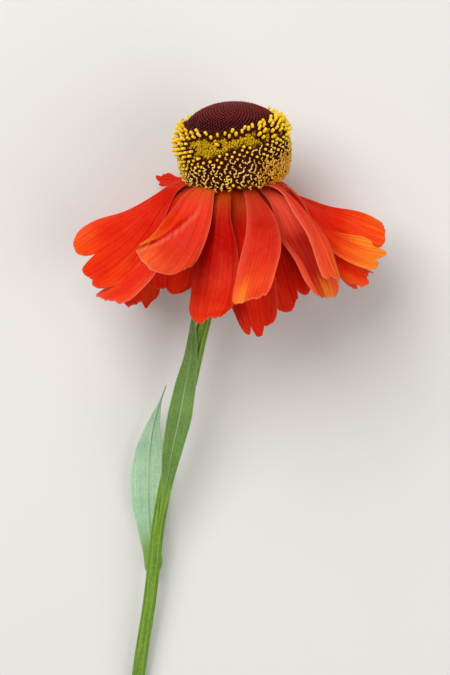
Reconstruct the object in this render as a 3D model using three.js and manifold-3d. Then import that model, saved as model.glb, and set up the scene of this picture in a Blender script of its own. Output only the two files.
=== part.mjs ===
// A cut sneezeweed flower lying on a table: a globe-shaped disc of packed florets, 23 notched
// petals in three layers, a green cup with narrow bracts, and a ribbed stem with two leaves.
// Millimetres, +Z up. The flower lies along Y with its disc toward +Y, and the origin is on the
// table under the middle of its box.

import * as THREE from 'three';
import { ConvexHull } from 'three/addons/math/ConvexHull.js';
import { mergeVertices } from 'three/addons/utils/BufferGeometryUtils.js';
import Module from 'manifold-3d';

const wasm = await Module();
wasm.setup();

const DEG = Math.PI / 180;
const FULL_TURN = 2 * Math.PI;
const UPRIGHT = new THREE.Vector3(0, 1, 0);
const GAP = 0.3;

// Where the bloom sits: the middle of the disc's underside, and how its axis leans
const BLOOM_AT = new THREE.Vector3(-0.2, 45.6, 17);
const NOSE_UP = 16 * DEG;
const LEAN_LEFT = 3 * DEG;

// Disc: heights are measured along the bloom's axis from the disc's underside
const DISC_RADIUS = 9.9;
const DISC_WIDEST_AT = 4.6;
const DISC_TOP = 12.3;
const DISC_BELOW = 8.6;
const DISC_SQUARENESS = 2.3;
const BUD_CAP_FROM = 9.2;
const BELT_FROM = 4.3;
const DISC_UNDERSIDE = 0.05;
const DISC_KNOBS_DOWN_TO = -0.6;
const FLORET_COUNT = 430;
const FLORET_RISE = 0.26;
const FLORET_DIP = 0.18;
const NECK_RADIUS = 5.6;
const NECK_TOP = 1;
const NECK_BOTTOM = -3.35;

// Anther sticks stand in rows under the cap of buds, forked styles in rows lower down
const ANTHER_ROWS = [
  { height: 8.7, count: 24 },
  { height: 7.6, count: 18 },
  { height: 6.3, count: 11 },
  { height: 5.1, count: 9 },
];
const ANTHER_RADIUS = 0.34;
const ANTHER_LENGTH = 0.75;
const STYLE_ROWS = [
  { height: 3.3, count: 10 },
  { height: 2.1, count: 9 },
  { height: 0.9, count: 8 },
];
const STYLE_RADIUS = 0.26;
const STYLE_LENGTH = 0.8;
const STYLE_SPREAD = 43 * DEG;
const ROD_SUNK = 0.6;
const ROW_SCATTER = 0.4;

// Petals
const PETAL_THICKNESS = 0.7;
const PETAL_RING = 6.2;
const LAYER_HEIGHT = { upper: -0.75, middle: -1.8, lower: -2.85 };
const LAYER_CLAW = { upper: 1.35, middle: 1.35, lower: 2.4 };
const PETAL_WIDEST_AT = 0.74;
const PETAL_FOOT_WIDTH = 0.25;
const PETAL_END_NARROWING = 0.16;
const PETAL_LOBES = 3;
const LOBE_ROUNDNESS = 2.2;
const PETAL_ENDS = [0.8, 0.96, 0.88, 1, 0.89, 0.95, 0.79];
const PETAL_NOTCHES = [-0.36, 0.34];
const PETAL_BEND = 0.24;
const PETAL_CUP = 0.5;
const SWEEP_DONE_AT = 0.6;
const TABLE_EASE = 1.2;
const PATH_STEPS = 200;

// Cup and bracts
const CUP_TOP = NECK_BOTTOM - GAP;
const CUP_BOTTOM = -8.6;
const CUP_RADIUS = 5.5;
const CUP_NECK_RADIUS = 1.9;
const BRACT_COUNT = 17;
const BRACT_LENGTH = 8.5;
const BRACT_WIDTH = 1.3;
const BRACT_THICKNESS = 0.6;
const BRACT_FOOT_AT = { radius: 3.9, height: -4.9 };
const BRACT_SLOPES = { foot: 25, least: 64, most: 78 };

// Stem
const STEM_RADIUS = 1;
const STEM_FLARE = 1.6;
const STEM_RIDGES = 6;
const STEM_RIDGE_HEIGHT = 0.13;
const STEM_STEPS = 30;

// Leaves
const LEAF_THICKNESS = 0.7;
const LEAF_TIP_HALF_WIDTH = 0.28;
const LEAF_MIDRIB_WIDTH = 0.55;

// A repeatable draw between 0 and 1
function drawsFrom(seed) {
  let state = seed;
  return () => {
    state = (state * 16807) % 2147483647;
    return state / 2147483647;
  };
}

const clamp01 = (x) => Math.min(1, Math.max(0, x));
const smooth = (x) => clamp01(x) ** 2 * (3 - 2 * clamp01(x));
const mix = (a, b, k) => a + (b - a) * k;

// The larger of two heights, rounded where they meet
function softMax(a, b, reach) {
  return Math.max(a, b) + Math.max(0, reach - Math.abs(a - b)) ** 2 / (4 * reach);
}

function plainGeometry(positions, indices) {
  const geometry = new THREE.BufferGeometry();
  geometry.setAttribute('position', new THREE.Float32BufferAttribute(positions, 3));
  geometry.setIndex(indices);
  return geometry;
}

// A body turned round the bloom's axis from points of radius and height, from the bottom up
function lathe(profile, segments) {
  return new THREE.LatheGeometry(profile.map(([r, h]) => new THREE.Vector2(r, h)), segments);
}

function toSolid(geometry) {
  const bare = geometry.clone();
  bare.deleteAttribute('normal');
  bare.deleteAttribute('uv');
  const merged = mergeVertices(bare, 1e-4);
  return new wasm.Manifold(new wasm.Mesh({
    numProp: 3,
    vertProperties: new Float32Array(merged.attributes.position.array),
    triVerts: new Uint32Array(merged.index.array),
  }));
}

function toGeometry(solid) {
  const mesh = solid.getMesh();
  return plainGeometry(Array.from(mesh.vertProperties), Array.from(mesh.triVerts));
}

function fuse(core, pieces) {
  let whole = toSolid(core);
  for (const piece of pieces) whole = whole.add(toSolid(piece));
  return toGeometry(whole);
}

// A closed skin over a row of rings with equally many points, with a flat fan over each end
function skinOverRings(rings) {
  const count = rings[0].length;
  const positions = [];
  const indices = [];
  for (const ring of rings) for (const point of ring) positions.push(point.x, point.y, point.z);
  for (let i = 0; i + 1 < rings.length; i += 1) {
    for (let j = 0; j < count; j += 1) {
      const next = (j + 1) % count;
      const a = i * count + j;
      const b = i * count + next;
      indices.push(a, a + count, b + count, a, b + count, b);
    }
  }
  for (const row of [0, rings.length - 1]) {
    const middle = positions.length / 3;
    const centre = new THREE.Vector3();
    for (const point of rings[row]) centre.addScaledVector(point, 1 / count);
    positions.push(centre.x, centre.y, centre.z);
    for (let j = 0; j < count; j += 1) {
      const a = row * count + j;
      const b = row * count + (j + 1) % count;
      if (row === 0) indices.push(middle, a, b);
      else indices.push(middle, b, a);
    }
  }
  return plainGeometry(positions, indices);
}

// A blade of even thickness: sheet(t, x) is its smooth middle surface, outline(u, w) says where
// on that surface a grid point lies, and both faces are split into triangles alike
function bladeSolid(sheet, outline, rows, columns, thickness) {
  const step = 1e-3;
  const faces = [[], []];
  for (const u of rows) {
    for (const w of columns) {
      const { t, x } = outline(u, w);
      const middle = sheet(t, x);
      const along = sheet(t + step, x).sub(sheet(t - step, x));
      const across = sheet(t, x + step).sub(sheet(t, x - step));
      const normal = across.cross(along).normalize();
      faces[0].push(middle.clone().addScaledVector(normal, thickness / 2));
      faces[1].push(middle.clone().addScaledVector(normal, -thickness / 2));
    }
  }
  const wide = columns.length;
  const size = rows.length * wide;
  const positions = faces.flat().flatMap((p) => [p.x, p.y, p.z]);
  const indices = [];
  for (let i = 0; i + 1 < rows.length; i += 1) {
    for (let j = 0; j + 1 < wide; j += 1) {
      const a = i * wide + j;
      const [b, c, d] = [a + 1, a + wide, a + wide + 1];
      indices.push(a, b, d, a, d, c, size + a, size + d, size + b, size + a, size + c, size + d);
    }
  }
  const rim = [];
  for (let j = 0; j < wide; j += 1) rim.push(j);
  for (let i = 1; i < rows.length; i += 1) rim.push(i * wide + wide - 1);
  for (let j = wide - 2; j >= 0; j -= 1) rim.push((rows.length - 1) * wide + j);
  for (let i = rows.length - 2; i > 0; i -= 1) rim.push(i * wide);
  for (let k = 0; k < rim.length; k += 1) {
    const a = rim[k];
    const b = rim[(k + 1) % rim.length];
    indices.push(a, size + a, size + b, a, size + b, b);
  }
  return plainGeometry(positions, indices);
}

// Disc

function discRadiusAt(height) {
  const reach = height > DISC_WIDEST_AT ? DISC_TOP - DISC_WIDEST_AT : DISC_BELOW;
  const x = Math.min(1, Math.abs(height - DISC_WIDEST_AT) / reach);
  return DISC_RADIUS * (1 - x ** DISC_SQUARENESS) ** (1 / DISC_SQUARENESS);
}

function discPoint(height, angle, out = 0) {
  const radius = discRadiusAt(height);
  const point = new THREE.Vector3(radius * Math.cos(angle), height, radius * Math.sin(angle));
  return point.addScaledVector(discNormal(height, angle), out);
}

function discNormal(height, angle) {
  const step = 0.02;
  const low = height - step;
  const high = Math.min(height + step, DISC_TOP - 1e-6);
  const slope = (discRadiusAt(high) - discRadiusAt(low)) / (high - low);
  return new THREE.Vector3(Math.cos(angle), -slope, Math.sin(angle)).normalize();
}

// Heights that share the disc's surface out evenly, from the top down
function evenHeights(count) {
  const steps = 600;
  const bottom = DISC_KNOBS_DOWN_TO;
  const area = [0];
  for (let i = 0; i < steps; i += 1) {
    const high = mix(DISC_TOP, bottom, i / steps);
    const low = mix(DISC_TOP, bottom, (i + 1) / steps);
    const [r1, r2] = [discRadiusAt(high), discRadiusAt(low)];
    area.push(area[i] + (r1 + r2) / 2 * Math.hypot(r2 - r1, high - low));
  }
  const heights = [];
  let place = 0;
  for (let k = 0; k < count; k += 1) {
    const wanted = (k + 0.5) / count * area[steps];
    while (area[place + 1] < wanted) place += 1;
    const part = (wanted - area[place]) / (area[place + 1] - area[place]);
    heights.push(mix(DISC_TOP, bottom, (place + part) / steps));
  }
  return heights;
}

// The whole disc with a low knob for each floret, set round it by the golden angle. Each knob's
// top is raised and the middle of each triangle between three knobs is lowered.
function knobbedDisc() {
  const golden = Math.PI * (3 - Math.sqrt(5));
  const points = evenHeights(FLORET_COUNT).map((h, k) => discPoint(h, k * golden));
  const hull = new ConvexHull().setFromPoints(points);
  const ids = new Map(points.map((point, k) => [point, k]));
  const outward = points.map((p) => discNormal(p.y, Math.atan2(p.z, p.x)));
  const positions = points.flatMap((p, k) => {
    const raised = p.clone().addScaledVector(outward[k], FLORET_RISE);
    return [raised.x, raised.y, raised.z];
  });
  const dips = new Map();
  for (const face of hull.faces) {
    const middle = new THREE.Vector3();
    let edge = face.edge;
    do {
      middle.addScaledVector(edge.head().point, 1 / 3);
      edge = edge.next;
    } while (edge !== face.edge);
    middle.addScaledVector(face.normal, -FLORET_DIP);
    dips.set(face, positions.length / 3);
    positions.push(middle.x, middle.y, middle.z);
  }
  const indices = [];
  for (const face of hull.faces) {
    let edge = face.edge;
    do {
      const knob = ids.get(edge.head().point);
      indices.push(knob, dips.get(edge.next.twin.face), dips.get(face));
      edge = edge.next;
    } while (edge !== face.edge);
  }
  return toSolid(plainGeometry(positions, indices));
}

function slab(low, high) {
  const radius = DISC_RADIUS * 1.4;
  return toSolid(lathe([[0, low], [radius, low], [radius, high], [0, high]], 12));
}

// A short rod that stands out of the disc's surface, tilted from the surface's normal
function rodOnDisc(height, angle, { foot, tip, out, sides, tilt, turn }) {
  const normal = discNormal(height, angle);
  const sideways = new THREE.Vector3(-Math.sin(angle), 0, Math.cos(angle));
  const along = new THREE.Vector3().crossVectors(sideways, normal);
  const direction = normal.clone().multiplyScalar(Math.cos(tilt));
  direction.addScaledVector(sideways, Math.sin(tilt) * Math.cos(turn));
  direction.addScaledVector(along, Math.sin(tilt) * Math.sin(turn));
  const rod = new THREE.CylinderGeometry(tip, foot, out + ROD_SUNK, sides);
  rod.translate(0, (out - ROD_SUNK) / 2, 0);
  rod.applyQuaternion(new THREE.Quaternion().setFromUnitVectors(UPRIGHT, direction));
  const place = discPoint(height, angle);
  rod.translate(place.x, place.y, place.z);
  return rod;
}

function antherSticks() {
  const draw = drawsFrom(11);
  const sticks = [];
  for (const { height, count } of ANTHER_ROWS) {
    for (let k = 0; k < count; k += 1) {
      const angle = (k + draw() / 2) / count * FULL_TURN;
      sticks.push(rodOnDisc(height - ROW_SCATTER * draw(), angle, {
        foot: ANTHER_RADIUS,
        tip: ANTHER_RADIUS * 0.8,
        out: ANTHER_LENGTH * (1 + draw() / 2),
        sides: 4,
        tilt: draw() / 4,
        turn: FULL_TURN * draw(),
      }));
    }
  }
  return sticks;
}

// Two bent tips stand up from one point of each open floret
function forkedStyles() {
  const draw = drawsFrom(23);
  const styles = [];
  for (const { height, count } of STYLE_ROWS) {
    for (let k = 0; k < count; k += 1) {
      const angle = (k + draw() / 2) / count * FULL_TURN;
      const place = height - ROW_SCATTER * draw();
      const turn = FULL_TURN * draw();
      for (const side of [0, FULL_TURN / 2]) {
        styles.push(rodOnDisc(place, angle, {
          foot: STYLE_RADIUS,
          tip: STYLE_RADIUS / 2,
          out: STYLE_LENGTH,
          sides: 3,
          tilt: STYLE_SPREAD,
          turn: turn + side,
        }));
      }
    }
  }
  return styles;
}

function discNeck() {
  return lathe([[0, NECK_BOTTOM], [NECK_RADIUS, NECK_BOTTOM], [NECK_RADIUS, NECK_TOP], [0, NECK_TOP]], 20);
}

// Petals

// Angles in degrees: at, round the bloom from its right side toward its front; slopes, how far
// below level the narrow foot, the blade past its bend and the end point; roll, how far the blade
// turns about its own length near its foot and near its end; sweep, how far it swings round.
// size is length and width; rest is the height of its middle surface where it lies on the table
// or on another petal. foot is the foot's share of the width, claw how slowly the blade widens
// from it, widest how far along it is widest. ends says how much of the length each place across
// the end reaches: shoulder, lobe, notch, lobe, notch, lobe, shoulder; notches says where across
// the two notches are cut.
const PETALS = [
  {
    at: -1.6, layer: 'middle', slopes: [27, 37, 19], size: [24.9, 7], roll: [8, -42], sweep: 3,
    foot: 0.2, claw: 2.23, widest: 0.76, ends: [0.78, 0.87, 0.85, 0.91, 0.89, 0.97, 0.84],
    notches: [-0.21, 0.36],
  },
  {
    at: 16.1, layer: 'upper', slopes: [9, 75, -19], size: [30.1, 5.1], roll: [42, -59], sweep: 5,
    foot: 0.2, claw: 2.6, widest: 0.88, ends: [0.72, 0.79, 0.74, 0.85, 0.75, 0.82, 0.74],
    notches: [-0.38, 0.38],
  },
  {
    at: 23.3, layer: 'lower', slopes: [63, 46, 28], size: [26.4, 7.1], roll: [26, -38], sweep: -13,
    foot: 0.21, claw: 2.58, widest: 0.88, ends: [0.8, 0.86, 0.84, 0.9, 0.79, 0.81, 0.76],
    notches: [-0.18, 0.34],
  },
  {
    at: 42.3, layer: 'upper', slopes: [0, 26, 86], size: [29.6, 6.3], roll: [26, 12], sweep: 6,
    foot: 0.4, claw: 2.23, widest: 0.82, ends: [0.81, 0.83, 0.8, 0.82, 0.77, 0.79, 0.74],
    notches: [-0.32, 0.37],
  },
  {
    at: 42.4, layer: 'middle', slopes: [13, 42, 64], size: [23.7, 8.9], roll: [-46, 7], sweep: 2,
    foot: 0.2, claw: 2.6, widest: 0.62, ends: [0.94, 0.95, 0.93, 0.98, 0.93, 0.95, 0.88],
    notches: [-0.18, 0.5],
  },
  {
    at: 49.9, layer: 'lower', slopes: [41, 56, 74], size: [21.3, 7], roll: [-1, -6], sweep: 7,
    foot: 0.23, claw: 2.42, widest: 0.69, ends: [0.86, 0.89, 0.87, 0.93, 0.91, 0.98, 0.96],
    notches: [-0.18, 0.22],
  },
  {
    at: 70.8, layer: 'upper', slopes: [32, 27, 48], size: [33.6, 8.1], roll: [-3, -19], sweep: 34,
    foot: 0.23, claw: 1.17, widest: 0.78, ends: [0.67, 0.71, 0.69, 0.77, 0.75, 0.77, 0.7],
    notches: [-0.5, 0.18],
  },
  {
    at: 92.5, layer: 'lower', slopes: [50, 65, 63], size: [24, 7.3], roll: [-1, -46], sweep: -33,
    foot: 0.27, claw: 2.6, widest: 0.77, ends: [0.91, 0.95, 0.93, 1, 0.94, 0.98, 0.87],
    notches: [-0.18, 0.46],
  },
  {
    at: 103.2, layer: 'middle', slopes: [20, 82, 27], size: [24.5, 8.8], roll: [-26, -6], sweep: 4,
    foot: 0.32, claw: 1.29, widest: 0.61, ends: [0.81, 0.91, 0.89, 0.98, 0.96, 1, 0.88],
    notches: [-0.5, 0.18],
  },
  {
    at: 122.6, layer: 'upper', slopes: [0, 38, 21], size: [22.7, 8.8], roll: [33, 23], sweep: -6,
    foot: 0.2, claw: 0.67, widest: 0.85, ends: [0.87, 0.89, 0.87, 0.98, 0.96, 1, 0.85],
    notches: [-0.5, 0.18],
  },
  {
    at: 137, layer: 'lower', slopes: [37, 46, 94], size: [21.6, 7.3], roll: [4, 62], sweep: 10,
    foot: 0.2, claw: 2.6, widest: 0.88, ends: [0.78, 0.8, 0.78, 0.84, 0.76, 0.79, 0.75],
    notches: [-0.5, 0.18],
  },
  {
    at: 169.3, layer: 'lower', slopes: [39, 40, 91], size: [25, 6.8], roll: [18, 99], sweep: 4,
    foot: 0.2, claw: 2.6, widest: 0.88, ends: [0.79, 0.85, 0.83, 0.93, 0.86, 0.9, 0.85],
    notches: [-0.43, 0.18],
  },
  {
    at: 147.9, layer: 'middle', slopes: [15, 69, 12], size: [31.9, 10.9], roll: [-32, -4],
    sweep: 10, foot: 0.2, claw: 1.93, widest: 0.72,
    ends: [0.61, 0.78, 0.74, 0.81, 0.78, 0.81, 0.74], notches: [-0.45, 0.18],
  },
  {
    at: 174.1, layer: 'upper', slopes: [0, 47, 25], size: [25.4, 11.9], roll: [18, 49], sweep: -8,
    foot: 0.28, claw: 2.6, widest: 0.8, ends: [0.94, 0.98, 0.9, 0.98, 0.86, 0.94, 0.89],
    notches: [-0.5, 0.18],
  },
  {
    at: 192.8, layer: 'lower', slopes: [39, 52, 48], size: [23.9, 8.3], roll: [4, 22], sweep: -4,
    foot: 0.2, claw: 2.41, widest: 0.73, ends: [0.79, 0.96, 0.88, 0.99, 0.89, 0.95, 0.78],
    notches: [-0.37, 0.33],
  },
  {
    at: 209.6, layer: 'middle', slopes: [28, 38, 42], size: [23.9, 8.5], roll: [-4, 14], sweep: 0,
    foot: 0.26, claw: 1.3, widest: 0.74, ends: [0.8, 0.96, 0.88, 0.99, 0.89, 0.96, 0.78],
    notches: [-0.35, 0.31],
  },
  {
    at: 226.1, layer: 'upper', slopes: [13, 21, -3], size: [14.1, 3.3], roll: [23, 18], sweep: 4,
    foot: 0.33, claw: 0.76, widest: 0.78, ends: [0.74, 0.85, 0.83, 0.97, 0.93, 0.95, 0.89],
    notches: [-0.5, 0.29],
  },
  { at: 247, layer: 'middle', slopes: [30, 60, 106], size: [25, 8.8], rest: 1.4 },
  { at: 270, layer: 'upper', slopes: [12, 50, 106], size: [25, 8.8] },
  { at: 293, layer: 'middle', slopes: [30, 60, 106], size: [25, 8.8], rest: 1.4 },
  { at: 311, layer: 'upper', slopes: [10, 34, 50], size: [23.5, 8.8] },
  { at: 330, layer: 'middle', slopes: [24, 42, 44], size: [25, 8.6], roll: [0, -8], rest: 1.5 },
  { at: 348, layer: 'lower', slopes: [40, 54, 48], size: [25, 8.8], roll: [-5, -20] },
];
const PETAL_ROWS = [0, 0.14, 0.3, 0.48, 0.66, 0.84, 1];
const PETAL_COLUMNS = [-1, -0.82, -0.52, -1 / 3, -0.14, 0.14, 1 / 3, 0.52, 0.82, 1];

const TABLE_UP = new THREE.Vector3(0, Math.sin(NOSE_UP), Math.cos(NOSE_UP));

// A petal's middle surface in the bloom's frame, as a function of t along its midrib (0 to 1)
// and x across it in millimetres. The midrib's slope is added up in small steps.
function petalSheet(petal) {
  const [rollFoot, rollEnd] = petal.roll ?? [0, 0];
  const [claw, root, tip] = petal.slopes;
  const [length, width] = petal.size;
  const frames = [];
  const heading0 = petal.at * DEG;
  const place = new THREE.Vector3(
    PETAL_RING * Math.cos(heading0), LAYER_HEIGHT[petal.layer], PETAL_RING * Math.sin(heading0));
  let before = null;
  for (let k = 0; k <= PATH_STEPS; k += 1) {
    const t = k / PATH_STEPS;
    const far = clamp01((t - PETAL_BEND / 2) / (1 - PETAL_BEND / 2));
    const slope = (mix(claw, root, smooth(t / PETAL_BEND)) + (tip - root) * far) * DEG;
    const heading = (petal.at + (petal.sweep ?? 0) * smooth(t / SWEEP_DONE_AT)) * DEG;
    const outward = new THREE.Vector3(Math.cos(heading), 0, Math.sin(heading));
    const round = new THREE.Vector3(-Math.sin(heading), 0, Math.cos(heading));
    const along = outward.clone().multiplyScalar(Math.cos(slope));
    along.addScaledVector(UPRIGHT, -Math.sin(slope));
    const above = outward.multiplyScalar(Math.sin(slope)).addScaledVector(UPRIGHT, Math.cos(slope));
    if (before) place.addScaledVector(before.add(along), length / PATH_STEPS / 2);
    before = along.clone();
    const roll = (rollFoot * smooth(t / 0.25) + (rollEnd - rollFoot) * smooth((t - 0.1) / 0.6)) * DEG;
    frames.push({
      middle: place.clone(),
      side: round.clone().multiplyScalar(Math.cos(roll)).addScaledVector(above, Math.sin(roll)),
      above: above.clone().multiplyScalar(Math.cos(roll)).addScaledVector(round, -Math.sin(roll)),
    });
  }
  const rest = petal.rest ?? PETAL_THICKNESS / 2;
  return (t, x) => {
    const k = Math.min(Math.floor(clamp01(t) * PATH_STEPS), PATH_STEPS - 1);
    const [a, b] = [frames[k], frames[k + 1]];
    const part = t * PATH_STEPS - k;
    const bend = -PETAL_CUP * smooth(t / 0.5) * (2 * x / width) ** 2;
    const point = a.middle.clone().lerp(b.middle, part);
    point.addScaledVector(a.side.clone().lerp(b.side, part), x);
    point.addScaledVector(a.above.clone().lerp(b.above, part), bend);
    const height = BLOOM_AT.z + point.dot(TABLE_UP);
    return point.addScaledVector(TABLE_UP, softMax(height, rest, TABLE_EASE) - height);
  };
}

// How much of its length a petal reaches at w across it, each half of a lobe rounded off
function petalReach(ends, w) {
  const place = (w + 1) * PETAL_LOBES;
  const k = Math.min(Math.floor(place), 2 * PETAL_LOBES - 1);
  const [lobe, low] = k % 2 === 0 ? [ends[k + 1], ends[k]] : [ends[k], ends[k + 1]];
  const x = clamp01(k % 2 === 0 ? k + 1 - place : place - k);
  return mix(low, lobe, (1 - x ** LOBE_ROUNDNESS) ** (1 / LOBE_ROUNDNESS));
}

// Moves w so that the notches, which stand a third of the way out in w, come to their own places
function movedAcross(w, [left, right]) {
  if (3 * Math.abs(w) < 1) return mix(left, right, (3 * w + 1) / 2);
  const notch = w < 0 ? -left : right;
  return Math.sign(w) * mix(notch, 1, (3 * Math.abs(w) - 1) / 2);
}

// Narrow foot, widest at about three quarters, and an end cut into three round lobes
function petalOutline(petal) {
  const foot = petal.foot ?? PETAL_FOOT_WIDTH;
  const claw = petal.claw ?? LAYER_CLAW[petal.layer];
  const widest = petal.widest ?? PETAL_WIDEST_AT;
  const halfWidth = petal.size[1] / 2;
  return (u, w) => {
    const t = u * petalReach(petal.ends ?? PETAL_ENDS, w);
    const swell = Math.sin(Math.PI / 2 * clamp01(t / widest)) ** claw;
    const end = clamp01((t - widest) / (1 - widest)) ** 2;
    const wide = halfWidth * mix(foot, 1, swell) * (1 - PETAL_END_NARROWING * end);
    return { t, x: movedAcross(w, petal.notches ?? PETAL_NOTCHES) * wide };
  };
}

function petalSolid(petal) {
  return bladeSolid(petalSheet(petal), petalOutline(petal), PETAL_ROWS, PETAL_COLUMNS, PETAL_THICKNESS);
}

// Cup with its bracts

function cupBody() {
  return lathe([
    [0, CUP_BOTTOM], [CUP_NECK_RADIUS, CUP_BOTTOM], [CUP_NECK_RADIUS, -8], [3, -7],
    [4.7, -5.6], [CUP_RADIUS, CUP_TOP - 0.5], [CUP_RADIUS - 0.3, CUP_TOP], [0, CUP_TOP],
  ], 24);
}

// A narrow pointed bract that grows from the cup's side and folds back along the stem
function bractBlade(angle, slope, length) {
  const outward = new THREE.Vector3(Math.cos(angle), 0, Math.sin(angle));
  const round = new THREE.Vector3(-Math.sin(angle), 0, Math.cos(angle));
  const { radius, height } = BRACT_FOOT_AT;
  const foot = outward.clone().multiplyScalar(radius).addScaledVector(UPRIGHT, height);
  const sheet = (t, x) => {
    const bend = mix(BRACT_SLOPES.foot, slope, smooth(2 * t)) * DEG;
    const point = foot.clone().addScaledVector(outward, length * t * Math.cos(bend));
    return point.addScaledVector(UPRIGHT, -length * t * Math.sin(bend)).addScaledVector(round, x);
  };
  const outline = (u, w) => ({ t: u, x: w * BRACT_WIDTH / 2 * (1 - 0.75 * u ** 2) });
  return bladeSolid(sheet, outline, [0, 0.3, 0.6, 1], [-1, 1], BRACT_THICKNESS);
}

function bracts() {
  const draw = drawsFrom(5);
  const blades = [];
  for (let k = 0; k < BRACT_COUNT; k += 1) {
    const angle = (k + 0.3 * draw()) / BRACT_COUNT * FULL_TURN;
    const slope = mix(BRACT_SLOPES.least, BRACT_SLOPES.most, draw());
    blades.push(bractBlade(angle, slope, BRACT_LENGTH * mix(0.85, 1.15, draw())));
  }
  return blades;
}

// Stem and leaves: points are measured from the spot on the table under the bloom

const STEM_ROUTE = [
  [0.46, -8.7, 14.5], [0.48, -9.7, 14.21], [-0.5, -13, 13.3], [-2.6, -18, 12.1],
  [-4.9, -25.6, 10.4], [-7.6, -37.3, 8.4], [-10.4, -48.3, 6.7], [-12.7, -59.7, 5.1],
  [-14.4, -73.9, 3.4], [-16.4, -87.1, 2.2], [-17.9, -103.8, 0.92],
];

function curveThrough(route) {
  return new THREE.CatmullRomCurve3(route.map((p) => new THREE.Vector3(...p)));
}

function stemRadiusAt(t, angle) {
  const flare = (STEM_FLARE - STEM_RADIUS) * (1 - smooth(t / 0.07));
  return STEM_RADIUS + flare + STEM_RIDGE_HEIGHT * Math.cos(STEM_RIDGES * angle);
}

function stemSolid() {
  const curve = curveThrough(STEM_ROUTE);
  const sides = 2 * STEM_RIDGES;
  const rings = [];
  for (let i = 0; i <= STEM_STEPS; i += 1) {
    const t = i / STEM_STEPS;
    const middle = curve.getPointAt(t);
    const along = curve.getTangentAt(t);
    const across = new THREE.Vector3(0, 0, 1).cross(along).normalize();
    const above = along.clone().cross(across);
    const ring = [];
    for (let j = 0; j < sides; j += 1) {
      const angle = j / sides * FULL_TURN;
      const radius = stemRadiusAt(t, angle);
      const point = middle.clone().addScaledVector(across, -radius * Math.cos(angle));
      point.addScaledVector(above, radius * Math.sin(angle));
      point.z = Math.max(point.z, 0);
      ring.push(point);
    }
    rings.push(ring);
  }
  return skinOverRings(rings);
}

const LEAVES = {
  leaf_upper: {
    route: [
      [-11.5, -56, 7.5], [-10.5, -48.3, 8.7], [-9, -41.3, 10],
      [-8, -36, 10.9], [-7.1, -31, 11.7], [-6.8, -24.6, 12.9],
    ],
    width: 4.1, foot: 0.3, fold: 0.28,
  },
  leaf_lower: {
    route: [
      [-14.1, -68.5, 2.15], [-14.3, -64, 2.2], [-14.8, -56.2, 2.3], [-14.6, -49.2, 2.8],
      [-13.9, -43.9, 3.5], [-12.5, -39, 4.3], [-11.5, -36.2, 4.9],
    ],
    width: 6, foot: 0.5, fold: 0.12,
  },
};
const LEAF_ROWS = [0, 0.09, 0.19, 0.3, 0.4, 0.5, 0.6, 0.7, 0.8, 0.9, 1];
const LEAF_COLUMNS = [-1, -0.5, 0, 0.5, 1];

function leafSolid({ route, width, foot, fold }) {
  const curve = curveThrough(route);
  const sheet = (t, x) => {
    const along = curve.getTangentAt(clamp01(t));
    const across = along.clone().cross(new THREE.Vector3(0, 0, 1)).normalize();
    const above = across.clone().cross(along);
    const point = curve.getPointAt(clamp01(t)).addScaledVector(along, (t - clamp01(t)) * curve.getLength());
    const trough = fold * (Math.hypot(x, LEAF_MIDRIB_WIDTH) - LEAF_MIDRIB_WIDTH) * smooth(t / 0.3);
    return point.addScaledVector(across, x).addScaledVector(above, trough);
  };
  const outline = (u, w) => {
    const swell = mix(foot, 1, smooth(u / 0.5)) * (1 - smooth((u - 0.5) / 0.5));
    return { t: u, x: w * Math.max(width / 2 * swell, LEAF_TIP_HALF_WIDTH) };
  };
  return bladeSolid(sheet, outline, LEAF_ROWS, LEAF_COLUMNS, LEAF_THICKNESS);
}

// Assembly

const PETAL_RED = 0xd8321c;
const PETAL_ORANGE = 0xf0602e;
const BUD_MAROON = 0x4a1418;
const ANTHER_GOLD = 0xc79a12;
const FLORET_BROWN = 0x5a2410;
const STEM_GREEN = 0x7c9a3a;
const LEAF_GREEN = 0x88a45c;
const PALE_LEAF_GREEN = 0xa6c49a;

function named(name, geometry, color, roughness) {
  const material = new THREE.MeshStandardMaterial({ color, roughness, metalness: 0 });
  const mesh = new THREE.Mesh(geometry, material);
  mesh.name = name;
  return mesh;
}

const bloom = new THREE.Group();
bloom.position.copy(BLOOM_AT);
bloom.rotation.set(NOSE_UP, 0, LEAN_LEFT, 'ZXY');

const disc = knobbedDisc();
const budCap = toGeometry(disc.intersect(slab(BUD_CAP_FROM, DISC_TOP + 2)));
const belt = toGeometry(disc.intersect(slab(BELT_FROM, BUD_CAP_FROM - GAP)));
const lowerBand = toGeometry(disc.intersect(slab(DISC_UNDERSIDE, BELT_FROM - GAP)));
bloom.add(named('disc_bud_cap', budCap, BUD_MAROON, 0.7));
bloom.add(named('disc_anther_belt', fuse(belt, antherSticks()), ANTHER_GOLD, 0.6));
bloom.add(named('disc_open_florets', fuse(lowerBand, [discNeck(), ...forkedStyles()]), FLORET_BROWN, 0.7));

PETALS.forEach((petal, k) => {
  const name = `petal_${String(k + 1).padStart(2, '0')}`;
  bloom.add(named(name, petalSolid(petal), petal.layer === 'upper' ? PETAL_ORANGE : PETAL_RED, 0.5));
});
bloom.add(named('cup_and_bracts', fuse(cupBody(), bracts()), STEM_GREEN, 0.6));

const stalk = new THREE.Group();
stalk.position.set(BLOOM_AT.x, BLOOM_AT.y, 0);
stalk.add(named('stem', stemSolid(), STEM_GREEN, 0.55));
stalk.add(named('leaf_upper', leafSolid(LEAVES.leaf_upper), LEAF_GREEN, 0.6));
stalk.add(named('leaf_lower', leafSolid(LEAVES.leaf_lower), PALE_LEAF_GREEN, 0.65));

const flower = new THREE.Group();
flower.add(bloom, stalk);

export default flower;
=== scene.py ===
"""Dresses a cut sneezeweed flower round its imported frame: petals, disc florets, stem and leaves."""

import math

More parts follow.
